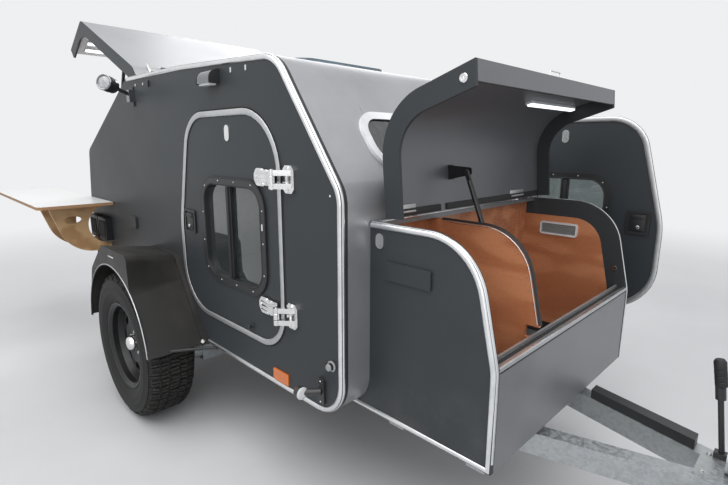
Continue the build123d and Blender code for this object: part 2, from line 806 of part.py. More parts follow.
def rim(side):
    flange, seat = rim_flange, rim_radius
    section = [(flange, -97), (flange, -92), (seat, -90), (seat, -62), (seat - 6, -42), (seat - 6, 42),
               (seat, 62), (seat, 90), (flange, 92), (flange, 97), (flange - 10, 97), (seat - 8, 86),
               (seat - 8, 60), (seat - 14, 42), (seat - 18, 30), (170, 22), (150, 40), (105, 46),
               (80, 34), (44, 30), (44, 24), (80, 27), (104, 39), (148, 33), (168, 15),
               (seat - 18, 20), (seat - 14, -36), (seat - 8, -62), (seat - 8, -88), (flange - 6, -97)]
    disc = turned(section, side)
    low, high, narrow, wide = rim_window
    section = [(-narrow / 2, low, 0), (narrow / 2, low, 0), (wide / 2, high, 0), (-wide / 2, high, 0)]
    window = slab(section, side * (wheel_y - 10), side * (wheel_y + 70))
    for i in range(rim_windows):
        disc -= Pos(0, 0, tyre_radius) * Rot(0, 360.0 / rim_windows * i, 0) * window
    return disc


def hub(side):
    # brake drum, wheel flange and cap in one outline, bored for the spindle
    outline = [(0, -75), (125, -75), (125, -18), (60, -10), (60, 23.5), (38, 23.5), (38, 50), (30, 56),
               (0, 58)]
    bore = [(0, -76), (spindle_radius + spindle_clearance, -76), (spindle_radius + spindle_clearance, 10),
            (0, 10)]
    return turned(outline, side) - turned(bore, side)


def axle_tube():
    low = rail_top - rail_height - axle_beam
    return block(axle_beam_x - axle_beam / 2, axle_beam_x + axle_beam / 2, -beam_half, beam_half, low,
                 low + axle_beam)


def trailing_arm():
    low = rail_top - rail_height - axle_beam
    points = [(-45, tyre_radius - 42, 38), (-45, tyre_radius + 42, 38),
              (axle_beam_x + 35, low + axle_beam + 6, 30), (axle_beam_x + 35, low - 2, 30)]
    face = wheel_y - 76
    arm = slab(points, beam_half, beam_half + arm_width)
    arm += cross_pin((0, tyre_radius), beam_half + arm_width - 1, face, 32)
    return arm + cross_pin((0, tyre_radius), face - 1, wheel_y + 8, spindle_radius)


def fender_hull(depth, y0, y1):
    # narrows from its outer face towards the wall
    ends = [outline_face(inset(points, depth), lambda u, v, y=y: (u, y, v))
            for points, y in ((fender_inner, y0), (fender_outer, y1))]
    return loft(ends, ruled=True)


def fender():
    hull = fender_hull(0, half_width, fender_y)
    hull += slab(inset(fender_inner, -8), half_width, half_width + fender_ridge)
    hull -= fender_hull(fender_sheet, half_width - 1, fender_y - fender_sheet)
    hull -= block(-500, 500, half_width - 1, fender_y - fender_sheet, fender_low - 30,
                  fender_low + fender_sheet + 1)
    return hull - cross_pin((0, arch_height), fender_y - fender_sheet - 1, fender_y + 1, arch_radius)


# Chassis

def rail_outline(half, reach, notch):
    inner = [(rail_rear - reach, rail_y - half), (bend_x + notch, rail_y - half),
             (rail_tip + reach, tip_y - half)]
    outer = [(rail_tip + reach, tip_y + half), (bend_x - notch, rail_y + half),
             (rail_rear - reach, rail_y + half)]
    return [(x, y, 0) for x, y in inner + outer]


def chassis_rail():
    tube = deck(rail_outline(rail_width / 2, 0, 8), rail_top - rail_height, rail_top)
    hollow = rail_outline(rail_width / 2 - rail_wall, 1, 7)
    return tube - deck(hollow, rail_top - rail_height + rail_wall, rail_top - rail_wall)


def rail_centre(x):
    return rail_y + (tip_y - rail_y) * (x - bend_x) / (rail_tip - bend_x)


def duct():
    # black duct that lies along the left rail, ahead of the nose box
    width, height = duct_size
    x0, x1 = box_front + duct_clear, coupling_reach - duct_back
    y0, y1 = rail_centre(x0), rail_centre(x1)
    points = [(x0, y0 - width / 2, 0), (x1, y1 - width / 2, 0), (x1, y1 + width / 2, 0),
              (x0, y0 + width / 2, 0)]
    return deck(points, rail_top, rail_top + height)


def crossbar(x, half):
    return block(x - crossbar_width / 2, x + crossbar_width / 2, -half, half, rail_top, body_bottom)


# Coupling, handbrake and jockey wheel

def coupling_head():
    head = bar((rail_tip, 0, shaft_height), (coupling_reach - 120, 0, shaft_height), shaft_radius)
    head += Pos(coupling_reach, 0, ball_height + 8) * Cylinder(head_radius, 60)
    head += block(coupling_reach - 150, coupling_reach, -32, 32, ball_height - 5, shaft_height + 25)
    head -= Pos(coupling_reach, 0, ball_height - 30) * Cylinder(socket_radius, 80)
    return head + block(coupling_reach - 110, coupling_reach + 30, -10, 10, shaft_height + 18,
                        shaft_height + 44)


def handbrake():
    x, y, half = rail_tip - lever_back, lever_y, 20.0
    bend = (x - 25, y, rail_top + 194)
    base = block(x - half, x + half, y - 14, y + 14, rail_top + nose_plate, rail_top + nose_plate + 18)
    base += bar((x, y, rail_top + nose_plate + 10), bend, 8)
    return base + bar(bend, (x - 42, y, rail_top + 314), 14)


def clamps():
    # nose plate over the rails' tips, with the shaft's collar, and the jockey wheel's clamp
    plate = block(rail_tip - 110, rail_tip, -75, 75, rail_top, rail_top + nose_plate)
    plate += bar((rail_tip - 40, 0, shaft_height), (rail_tip, 0, shaft_height), head_radius)
    ring = Pos(jockey_x, jockey_y, shaft_height) * Cylinder(jockey_tube_radius + 8, 50)
    ring += block(jockey_x - 20, jockey_x + 20, jockey_y, -shaft_radius + 4, shaft_height - 8,
                  shaft_height + 8)
    ring -= Pos(jockey_x, jockey_y, shaft_height) * Cylinder(jockey_tube_radius, 60)
    return [plate, ring - bar((rail_tip, 0, shaft_height), (coupling_reach, 0, shaft_height), shaft_radius)]


def jockey_tube():
    low, high = jockey_tube_span
    crank = high + 36
    tube = jockey_post(jockey_tube_radius, low, high + 10)
    tube -= jockey_post(jockey_stem_radius + 0.08, low - 1, high)
    tube += jockey_post(8, high + 8, crank)
    tube += bar((jockey_x - 8, jockey_y, crank), (jockey_x + 120, jockey_y, crank), 6)
    return tube + bar((jockey_x + 114, jockey_y, crank), (jockey_x + 114, jockey_y, crank + 74), 11)


def jockey_post(radius, low, high):
    return bar((jockey_x, jockey_y, low), (jockey_x, jockey_y, high), radius)


def jockey_fork():
    axle = (jockey_x - jockey_trail, jockey_radius)
    top = 2 * jockey_radius + 18
    fork = jockey_post(26, top + 8, fork_top)
    fork += block(axle[0] - 22, jockey_x + 26, jockey_y - fork_half - fork_sheet,
                  jockey_y + fork_half + fork_sheet, top, top + 8)
    cheek = [(axle[0] - 18, axle[1] - 18, 16), (axle[0] + 18, axle[1] - 18, 16),
             (jockey_x + 24, top + 2, 0), (axle[0] - 20, top + 2, 0)]
    for low in (jockey_y - fork_half - fork_sheet, jockey_y + fork_half):
        fork += slab(cheek, low, low + fork_sheet)
    return fork + cross_pin(axle, jockey_y - fork_half - 9, jockey_y + fork_half + 9, 8)


def jockey_wheel():
    axle = (jockey_x - jockey_trail, jockey_radius)
    half = jockey_wheel_width / 2
    wheel = fillet(cross_pin(axle, jockey_y - half, jockey_y + half, jockey_radius).edges(), 12)
    return wheel - cross_pin(axle, jockey_y - half - 9, jockey_y + half + 9, 8 + pin_clearance)


# Table and fittings

def side_table():
    inner = half_width + trim_height + seat_gap
    points = [(table_front, -table_out, 30), (table_front, -inner, 0), (table_rear, -inner, 100),
              (table_rear, -table_out, 60)]
    return deck(points, table_top - table_board, table_top)


def table_bracket(x):
    under = table_top - table_board
    foot = under - bracket_drop
    low_reach, high_reach = bracket_reach
    points = [(-half_width, foot, 0), (-half_width - low_reach, foot, bracket_round),
              (-half_width - high_reach, under, 0), (-half_width, under, 0)]
    plate = cross_board(points, x - bracket_board / 2, x + bracket_board / 2)
    down, radius = bracket_arch
    plate -= bar((x - 20, -half_width, under - down), (x + 20, -half_width, under - down), radius)
    out, down, long_half, short_half = bracket_slot
    start = Plane(origin=(x - 20, -half_width - out, under - down), x_dir=(0, 1, 0), z_dir=(1, 0, 0))
    return plate - extrude(start * Ellipse(long_half, short_half), amount=40)


def porch_hood():
    # quarter-round hood on the wall, open below over its lens
    x, h, width, height, depth = porch_lamp
    low, high, out = h - height / 2, h + height / 2, half_width + depth
    hood = cross_board([(half_width, low, 0), (out, low, 0), (out, high, hood_radius), (half_width, high, 0)],
                       x - width / 2, x + width / 2)
    lens = cross_board([(half_width + 8, low - 1, 0), (out - 5, low - 1, 0), (out - 5, low + 5, 0),
                        (half_width + 8, low + 5, 0)],
                       x - width / 2 + 5, x + width / 2 - 5)
    return hood - lens


def lamps():
    x, h, width, height, depth = work_lamp_foot
    work = block(x - width / 2, x + width / 2, -half_width - depth, -half_width, h - height / 2,
                 h + height / 2)
    for start, end, radius in (work_lamp_arm, work_lamp_can):
        ends = [(x, -half_width - out, h) for x, out, h in (start, end)]
        work += bar(*ends, radius)
    return [both_sides(porch_hood()), work]


def front_marker():
    # round lamp at the end of a rubber arm
    x, h, out, radius, length = marker_lamp
    base_x, base_h, _, _, depth = marker_base
    lamp = bar((x - length / 2, half_width + out, h), (x + length / 2, half_width + out, h), radius)
    arm = bar((base_x, half_width + depth - 1, base_h), (x, half_width + out, h), 0.6 * radius)
    return fitting(marker_base, half_width, 1, 14.0) + arm + lamp


def marker_lamps():
    y, h, width, height, depth = rear_lamp
    rear = block(body_rear - depth, body_rear, y - width / 2, y + width / 2, h - height / 2, h + height / 2)
    return both_sides([fitting(side_reflector, half_width, 1), rear, front_marker()])


def wall_fittings():
    sockets = [Pos(x, 0, 0) * fitting(socket_box, half_width, -1) for x in (0, socket_pitch)]
    x, h, radius, height = wall_plug
    plug = cross_pin((x, h), -half_width, -half_width - 4, radius)
    plug += cross_pin((x, h), -half_width - 3, -half_width - height, 0.7 * radius)
    return [sockets, fitting(wall_flap, half_width, -1), plug,
            both_sides(fitting(box_flap, box_half_width, 1))]


# Writing

os.makedirs("parts", exist_ok=True)

keep("side_walls", [side_wall(side) for _, side in sides])
keep("front_panel", front_panel())
keep("roof_panel", roof_panel())
keep("rear_panel", rear_panel())
keep("floor_panel", block(floor_rear, floor_front, -inner_y, inner_y, body_bottom, body_bottom + skin))
keep("edge_trims", edge_trims())
keep("window_frames", window_frames())
keep("window_panes", window_panes())
keep("galley_boards", bulkheads(), galley_boards())
keep("mattress", bed())

for name, side in sides:
    opened = 0.0 if side < 0 else -180.0     # the left door is stored folded forward
    pin = Axis((door_pin_x, side * (half_width + door_pin_out), 0), (0, 0, 1))
    for node, shape in door_nodes(side).items():
        keep(f"door_{name}_{node}", [solid.rotate(pin, opened) for solid in pieces(shape)])

lid_hinges = [lid_hinge(y) for y in (-lid_hinge_y, lid_hinge_y)]
gate_hinges = [gate_hinge(y) for y in (-gate_hinge_y, gate_hinge_y)]
keep("hinge_brackets", [door_bracket(side, h) for _, side in sides for h in hinge_heights],
     [fixed for _, fixed in lid_hinges + gate_hinges])

keep("nose_box_sides", both_sides(box_side()))
keep("nose_box_boards", box_boards())
keep("nose_box_sill", box_sill())
keep("nose_box_linings", box_linings())
keep("nose_lid_shell", lid_shell())
keep("nose_lid_hinges", tilt([moving for moving, _ in lid_hinges], lid_pivot, -lid_open), strut_bracket())

for node, shape in {**gate_nodes(), **strut_nodes()}.items():
    keep(node, shape)

for name, side in sides:
    keep(f"tyre_{name}", tyre(side))
    keep(f"wheel_rim_{name}", rim(side))
    keep(f"wheel_hub_{name}", hub(side))

keep("axle_beam", axle_tube(), both_sides(trailing_arm()))
keep("fenders", both_sides(fender()))
keep("chassis_rails", both_sides(chassis_rail()))
keep("crossbars", [crossbar(x, half) for x, half in crossbars])
keep("drawbar_duct", duct())
keep("drawbar_clamps", clamps())
keep("coupling_head", coupling_head())
keep("handbrake_lever", handbrake())
keep("jockey_tube", jockey_tube())
keep("jockey_stem", jockey_post(jockey_stem_radius, fork_top + seat_gap, jockey_stem_top))
keep("jockey_fork", jockey_fork())
keep("jockey_wheel", jockey_wheel())
keep("side_table", side_table())
keep("table_brackets", [table_bracket(x) for x in bracket_places])
keep("lamps", lamps())
keep("marker_lamps", marker_lamps())
keep("wall_fittings", wall_fittings())
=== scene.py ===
# Teardrop trailer: finishes, small parts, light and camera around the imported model.
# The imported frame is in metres, with its origin at the tow ball, +X forward and +Z up.
# place() turns vehicle millimetres, x ahead of the axle, y to the left and h above the ground, into it.
import bpy
import bmesh
import math
from mathutils import Matrix, Vector


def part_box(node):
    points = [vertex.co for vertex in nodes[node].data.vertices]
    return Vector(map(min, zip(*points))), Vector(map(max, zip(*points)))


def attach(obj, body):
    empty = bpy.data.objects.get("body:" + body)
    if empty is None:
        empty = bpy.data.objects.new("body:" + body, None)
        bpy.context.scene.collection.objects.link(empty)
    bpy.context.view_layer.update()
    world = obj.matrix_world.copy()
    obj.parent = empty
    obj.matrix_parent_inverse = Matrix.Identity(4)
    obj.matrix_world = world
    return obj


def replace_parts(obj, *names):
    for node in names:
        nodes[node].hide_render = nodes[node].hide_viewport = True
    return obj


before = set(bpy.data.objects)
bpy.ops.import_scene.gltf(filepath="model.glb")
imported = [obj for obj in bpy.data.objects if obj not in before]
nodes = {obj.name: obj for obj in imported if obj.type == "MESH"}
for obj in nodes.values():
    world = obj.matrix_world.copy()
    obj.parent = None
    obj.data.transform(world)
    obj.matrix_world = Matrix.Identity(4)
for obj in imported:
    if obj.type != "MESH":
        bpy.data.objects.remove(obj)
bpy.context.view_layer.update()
print("frame loaded,", len(nodes), "nodes")

vehicle = {
    "coupling": 2700.0,        # axle to tow ball
    "ballHeight": 430.0,
    "wheelY": 820.5,
    "tyreRadius": 367.5,
    "doorPin": (1050.0, 720.0),
    "lidPivot": (1390.0, 1113.0),
    "lidOpen": 95.0,
    "gatePivot": (-262.0, 1706.0),
    "gateOpen": 50.5,
}


def place(x, y, h):
    return Vector(((x - vehicle["coupling"]) / 1000, y / 1000, (h - vehicle["ballHeight"]) / 1000))


def unplaced(at):
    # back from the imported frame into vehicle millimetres
    return Vector((at[0] * 1000 + vehicle["coupling"], at[1] * 1000, at[2] * 1000 + vehicle["ballHeight"]))


def addObject(name, data):
    made = bpy.data.objects.new(name, data)
    bpy.context.scene.collection.objects.link(made)
    return made


# Camera, solved from the photograph

camera = {"at": (-0.298, -1.632, 0.925), "turn": (78.2, -0.2, 45.0), "lens": 23.39}
cameraData = bpy.data.cameras.new("photoCamera")
cameraData.lens = camera["lens"]
cameraData.sensor_width = 36.0
photoCamera = addObject("photoCamera", cameraData)
photoCamera.location = camera["at"]
photoCamera.rotation_euler = [math.radians(a) for a in camera["turn"]]
bpy.context.scene.camera = photoCamera


# Node trees

class Wire:
    # an output socket; arithmetic on it adds Math nodes to its tree
    def __init__(self, tree, socket):
        self.tree = tree
        self.socket = socket

    def math(self, operation, *values):
        return self.tree.add("ShaderNodeMath", {"operation": operation}, dict(enumerate(values)))

    def __add__(self, other):
        return self.math("ADD", self, other)

    def __rsub__(self, other):
        return self.math("SUBTRACT", other, self)

    def __mul__(self, other):
        return self.math("MULTIPLY", self, other)

    def __rtruediv__(self, other):
        return self.math("DIVIDE", other, self)

    def __pow__(self, other):
        return self.math("POWER", self, other)

    def __gt__(self, other):
        return self.math("GREATER_THAN", self, other)

    def __lt__(self, other):
        return self.math("LESS_THAN", self, other)

    __radd__ = __add__
    __rmul__ = __mul__

    def size(self):
        return self.math("ABSOLUTE", self)

    def most(self, other):
        return self.math("MAXIMUM", self, other)

    def sine(self):
        return self.math("SINE", self)

    def ramp(self, low, high, start=0.0, end=1.0):
        sockets = {"Value": self, "From Min": low, "From Max": high, "To Min": start, "To Max": end}
        return self.tree.add("ShaderNodeMapRange", {"interpolation_type": "SMOOTHSTEP"}, sockets)


class Tree:
    # adds nodes: a type, its settings, then the values or links of its sockets
    def __init__(self, nodeTree):
        self.nodeTree = nodeTree

    def add(self, kind, settings=None, sockets=None, output=0):
        node = self.nodeTree.nodes.new(kind)
        for key, value in (settings or {}).items():
            setattr(node, key, value)
        for key, value in (sockets or {}).items():
            self.feed(node.inputs[key], value)
        return None if output is None else Wire(self, node.outputs[output])

    def feed(self, socket, value):
        if isinstance(value, Wire):
            self.nodeTree.links.new(value.socket, socket)
        elif isinstance(value, (list, tuple)) and len(value) == 3 and socket.type == "RGBA":
            socket.default_value = (*value, 1.0)
        else:
            socket.default_value = value


class Finish(Tree):
    # a material with one Principled shader; keywords name its sockets
    def __init__(self, name, **plain):
        self.material = bpy.data.materials.new(name)
        self.material.use_nodes = True
        super().__init__(self.material.node_tree)
        self.nodeTree.nodes.clear()
        self.shader = self.nodeTree.nodes.new("ShaderNodeBsdfPrincipled")
        self.end = self.nodeTree.nodes.new("ShaderNodeOutputMaterial")
        self.nodeTree.links.new(self.shader.outputs[0], self.end.inputs["Surface"])
        self.spot = self.add("ShaderNodeTexCoord", output="Object")
        self.put(**plain)

    def put(self, **values):
        names = {"colour": "Base Color", "roughness": "Roughness", "metallic": "Metallic", "normal": "Normal",
                 "coat": "Coat Weight", "coatRoughness": "Coat Roughness", "ior": "IOR",
                 "transmission": "Transmission Weight", "glow": "Emission Color",
                 "glowStrength": "Emission Strength",
                 "sheen": "Sheen Weight", "specular": "Specular IOR Level"}
        for key, value in values.items():
            self.feed(self.shader.inputs[names[key]], value)

    def axis(self, letter):
        return self.add("ShaderNodeSeparateXYZ", sockets={0: self.spot}, output=letter)

    def stretched(self, x, y, z):
        return self.add("ShaderNodeMapping", sockets={"Vector": self.spot, "Scale": (x, y, z)})

    def noise(self, scale, detail, roughness, vector=None):
        sockets = {"Vector": vector or self.spot, "Scale": scale, "Detail": detail, "Roughness": roughness}
        return self.add("ShaderNodeTexNoise", sockets=sockets)

    def cells(self, scale, feature="F1", output="Distance"):
        sockets = {"Vector": self.spot, "Scale": scale}
        return self.add("ShaderNodeTexVoronoi", {"feature": feature}, sockets, output)

    def mix(self, factor, first, second):
        return self.add("ShaderNodeMix", {"data_type": "RGBA"}, {0: factor, 6: first, 7: second}, output=2)

    def bump(self, height, strength, distance):
        sockets = {"Strength": strength, "Distance": distance, "Height": height}
        self.put(normal=self.add("ShaderNodeBump", sockets=sockets))


def shade(colour, share):
    return tuple(min(1.0, c * share) for c in colour)


# Finishes

# the board grey is the silver skin darkened: painted shade on the nose box's boards
paint = {"anthracite": (0.037, 0.042, 0.046), "silver": (0.36, 0.365, 0.38), "board": (0.25, 0.255, 0.265),
         # the lid grey is the silver skin darkened: painted shade on the open lid's inner face
         "lid": (0.19, 0.194, 0.205), "dust": (0.30, 0.28, 0.25)}
# where the finishes of one node meet, in metres of the frame
border = {
    "wallInside": 0.6465, "openDoorInside": 0.7935,
    "lidSide": 0.5148, "gateSide": 0.6385, "lidHinge": 0.3,
    "wallFlap": (3.1, 0.047), "boxFlap": (1.188, 0.095),      # how far behind the ball, half length
    "rearLamps": -3.5, "frontMarkers": -1.6,
    "roofDome": 1.26, "tableTop": 0.5692,
}


def coatedPanel(name, colour, metallic, roughness, grain=0.35):
    # structured powder coat: fine dimples, cloudy gloss and a little dust low down
    finish = Finish(name, metallic=metallic, specular=0.3)
    cloud = finish.noise(2.2, 4.0, 0.55)
    fine = finish.noise(520.0, 2.0, 0.6)
    dust = finish.axis("Z").ramp(0.35, -0.05) * finish.noise(9.0, 5.0, 0.65).ramp(0.42, 0.75) * 0.10
    tone = finish.mix(cloud.ramp(0.3, 0.7), shade(colour, 0.9), shade(colour, 1.1))
    finish.put(colour=finish.mix(dust, tone, paint["dust"]))
    finish.put(roughness=cloud.ramp(0.3, 0.7, roughness - 0.03, roughness + 0.04) + dust * 0.8)
    finish.bump(fine, grain, 0.0004)
    return finish.material


def twoPaints(name, first, second, mask, gloss, metallic=(0.0, 0.0)):
    # one node with two finishes; mask(finish) is 1 where the second one is
    finish = Finish(name, specular=0.3)
    cloud = finish.noise(2.2, 4.0, 0.55)
    fine = finish.noise(520.0, 2.0, 0.6)
    share = mask(finish)
    tone = finish.mix(share, first, second)
    finish.put(colour=finish.mix(cloud.ramp(0.3, 0.7), finish.mix(0.1, tone, (0.0, 0.0, 0.0)), tone))
    rough = cloud.ramp(0.3, 0.7, gloss[0] - 0.03, gloss[0] + 0.04)
    finish.put(roughness=rough + share * (gloss[1] - gloss[0]))
    finish.put(metallic=share * (metallic[1] - metallic[0]) + metallic[0])
    finish.bump(fine, 0.3, 0.0004)
    return finish.material


def insideWalls(finish):
    # inner faces of the walls and the right door, and of the left door, which is folded forward
    y = finish.axis("Y")
    return (y.size() < border["wallInside"]).most(y > border["openDoorInside"])


def allButFlaps(finish):
    x = finish.axis("X")
    spans = (border["wallFlap"], border["boxFlap"])
    onWall, onBox = ((x + behind).size() < half for behind, half in spans)
    return 1 - onWall.most(onBox)


def markerFinish():
    # amber reflectors, red rear lamps, and front markers in black rubber
    finish = Finish("markerLenses", coat=0.6, coatRoughness=0.05, specular=0.5)
    x = finish.axis("X")
    prism = finish.cells(240.0)
    lamp = finish.mix(x < border["rearLamps"], (0.90, 0.21, 0.015), (0.50, 0.018, 0.016))
    rubber = x > border["frontMarkers"]
    tone = finish.mix(prism.ramp(0.0, 0.6), lamp, finish.mix(0.35, lamp, (0.0, 0.0, 0.0)))
    finish.put(colour=finish.mix(rubber, tone, (0.014, 0.014, 0.015)))
    finish.put(roughness=prism.ramp(0.0, 0.8, 0.14, 0.26) + rubber * 0.4)
    finish.bump(prism * (1 - rubber), 0.35, 0.001)
    return finish.material


def metal(name, colour, roughness, streak=(1.0, 1.0, 1.0), depth=0.06):
    finish = Finish(name, metallic=1.0)
    lines = finish.noise(240.0, 3.0, 0.6, finish.stretched(*streak))
    smudge = finish.noise(14.0, 4.0, 0.6)
    finish.put(colour=finish.mix(smudge.ramp(0.35, 0.7), colour, shade(colour, 0.86)))
    rough = lines.ramp(0.3, 0.7, roughness - 0.04, roughness + depth)
    finish.put(roughness=rough + smudge.ramp(0.45, 0.75) * 0.07)
    finish.bump(lines, 0.12, 0.0002)
    return finish.material


def plastic(name, colour, roughness, grain=0.0, size=700.0):
    finish = Finish(name)
    cloud = finish.noise(6.0, 4.0, 0.6)
    finish.put(colour=finish.mix(cloud.ramp(0.3, 0.75), shade(colour, 0.85), shade(colour, 1.18)))
    finish.put(roughness=cloud.ramp(0.3, 0.7, roughness - 0.05, roughness + 0.06))
    finish.bump(finish.cells(size), 0.15 + grain, 0.0003)
    return finish.material


def plywood(name, pale, dark, gloss, along, coat=0.0):
    # rotary-cut face: long wandering grain, darker knots of figure, fine pores
    finish = Finish(name, coat=coat, coatRoughness=0.12)
    drawn = finish.stretched(*along)
    wander = finish.noise(3.0, 3.0, 0.5, drawn)
    rings = (wander * 42.0).sine()
    pores = finish.noise(160.0, 4.0, 0.7, drawn)
    tone = finish.mix(rings.ramp(-0.6, 1.0), pale, dark)
    finish.put(colour=finish.mix(pores.ramp(0.52, 0.72) * 0.5, tone, shade(dark, 0.6)))
    finish.put(roughness=pores.ramp(0.3, 0.7, gloss - 0.06, gloss + 0.08))
    finish.bump(pores, 0.15, 0.0003)
    return finish.material


def galvanised():
    # hot-dip zinc: spangle cells of slightly different grey
    finish = Finish("galvanisedSteel", metallic=0.85)
    spangle = finish.add("ShaderNodeSeparateColor", sockets={0: finish.cells(110.0, output="Color")})
    cloud = finish.noise(5.0, 5.0, 0.6)
    tone = finish.mix(spangle, (0.36, 0.38, 0.39), (0.47, 0.49, 0.50))
    finish.put(colour=finish.mix(cloud.ramp(0.5, 0.8) * 0.5, tone, (0.52, 0.53, 0.52)))
    finish.put(roughness=spangle.ramp(0.0, 1.0, 0.34, 0.56))
    finish.bump(finish.cells(110.0, "DISTANCE_TO_EDGE"), 0.08, 0.0004)
    return finish.material


def tintedPane():
    # smoked acrylic with faint rain marks
    finish = Finish("tintedPane", transmission=0.85, ior=1.45, specular=0.9, coat=0.8, coatRoughness=0.03)
    marks = finish.noise(38.0, 5.0, 0.7)
    finish.put(colour=finish.mix(marks.ramp(0.4, 0.7), (0.17, 0.2, 0.2), (0.21, 0.24, 0.24)))
    finish.put(roughness=marks.ramp(0.5, 0.8, 0.02, 0.09))
    return finish.material


def windowAcrylic():
    # front pane almost black; the roof dome's lighter, bluish tone is a painted reflection
    finish = Finish("windowAcrylic", transmission=0.5, ior=1.45, specular=0.8, coat=0.6, coatRoughness=0.03)
    marks = finish.noise(38.0, 5.0, 0.7)
    tone = finish.mix(finish.axis("Z") > border["roofDome"], (0.045, 0.05, 0.055), (0.17, 0.25, 0.31))
    finish.put(colour=finish.mix(marks.ramp(0.4, 0.7) * 0.2, tone, (0.30, 0.33, 0.34)))
    finish.put(roughness=marks.ramp(0.5, 0.8, 0.03, 0.1))
    return finish.material


def tyreRubber():
    # carbon-black rubber, dusty and lighter over the tread, partly a painted highlight, with moulding lines
    # round the sidewall
    finish = Finish("tyreRubber", specular=0.35)
    x, z = finish.axis("X"), finish.axis("Z")
    behind, below = vehicle["coupling"] / 1000, (vehicle["ballHeight"] - vehicle["tyreRadius"]) / 1000
    fromAxle = ((x + behind) ** 2.0 + (z + below) ** 2.0) ** 0.5
    lines = (fromAxle * 900.0).sine()
    grit = finish.noise(120.0, 5.0, 0.7)
    # lighter brownish tone over the tread: partly dust, partly painted highlight on the blocks
    dust = grit.ramp(0.45, 0.75) * fromAxle.ramp(0.30, 0.36, 0.35, 0.75)
    finish.put(colour=finish.mix(dust * 0.8, (0.014, 0.014, 0.0145), (0.12, 0.11, 0.09)))
    finish.put(roughness=grit.ramp(0.3, 0.7, 0.62, 0.85))
    finish.bump(grit + lines.ramp(0.2, 1.0) * (fromAxle < 0.335) * 0.5, 0.3, 0.0008)
    return finish.material


def fenderPlastic():
    # grained thermoplastic with a brown bloom of road dust on top
    finish = Finish("fenderPlastic", specular=0.4)
    bloom = finish.noise(5.0, 5.0, 0.65)
    grain = finish.cells(420.0)
    finish.put(colour=finish.mix(bloom.ramp(0.35, 0.75) * 0.6, (0.021, 0.020, 0.019), (0.040, 0.036, 0.031)))
    finish.put(roughness=bloom.ramp(0.3, 0.7, 0.42, 0.6))
    finish.bump(grain, 0.25, 0.0005)
    return finish.material


def lens(name, colour, pitch, glow=0.0):
    # moulded lens with small prisms
    finish = Finish(name, coat=0.6, coatRoughness=0.05, glowStrength=glow)
    prism = finish.cells(pitch)
    tone = finish.mix(prism.ramp(0.0, 0.6), shade(colour, 1.25), shade(colour, 0.7))
    finish.put(colour=tone, roughness=prism.ramp(0.0, 0.8, 0.12, 0.25))
    if glow:
        finish.put(glow=tone)
    finish.bump(prism, 0.35, 0.001)
    return finish.material


def lightBar():
    # diffuser of a light strip, brightest along its middle
    finish = Finish("lightBar", glowStrength=1.6)
    dots = finish.cells(60.0)
    glow = finish.mix(dots.ramp(0.1, 0.7), (1.0, 1.0, 1.0), (0.8, 0.86, 0.95))
    finish.put(colour=(0.9, 0.92, 0.95), glow=glow)
    finish.put(roughness=dots.ramp(0.0, 1.0, 0.3, 0.45))
    return finish.material


def tableBoard():
    # white laminate on top, sawn plywood on the edges and below
    finish = Finish("tableBoard")
    z = finish.axis("Z")
    white = z > border["tableTop"]
    layers = (z * 2600.0).sine().ramp(-0.3, 0.3)
    grain = finish.noise(90.0, 4.0, 0.7, finish.stretched(0.15, 1.0, 1.0))
    ply = finish.mix(layers * 0.6 + grain * 0.3, (0.50, 0.30, 0.15), (0.20, 0.10, 0.045))
    finish.put(colour=finish.mix(white, ply, (0.75, 0.75, 0.74)))
    finish.put(roughness=white.ramp(0.0, 1.0, 0.6, 0.28) + grain * 0.05)
    finish.bump(grain * (1 - white), 0.2, 0.0004)
    return finish.material


def wovenTicking():
    # mattress cloth: two crossed threads
    finish = Finish("wovenTicking", sheen=0.25)
    threads = {"Vector": finish.spot, "Scale": 190.0, "Distortion": 0.6}
    across, along = (finish.add("ShaderNodeTexWave", {"bands_direction": way}, threads) for way in "XY")
    weave = across.most(along)
    cloud = finish.noise(11.0, 4.0, 0.6)
    tone = finish.mix(weave, (0.24, 0.24, 0.245), (0.42, 0.42, 0.415))
    finish.put(colour=finish.mix(cloud.ramp(0.4, 0.7) * 0.25, tone, (0.32, 0.31, 0.30)))
    finish.put(roughness=weave.ramp(0.0, 1.0, 0.85, 0.95))
    finish.bump(weave, 0.35, 0.0006)
    return finish.material


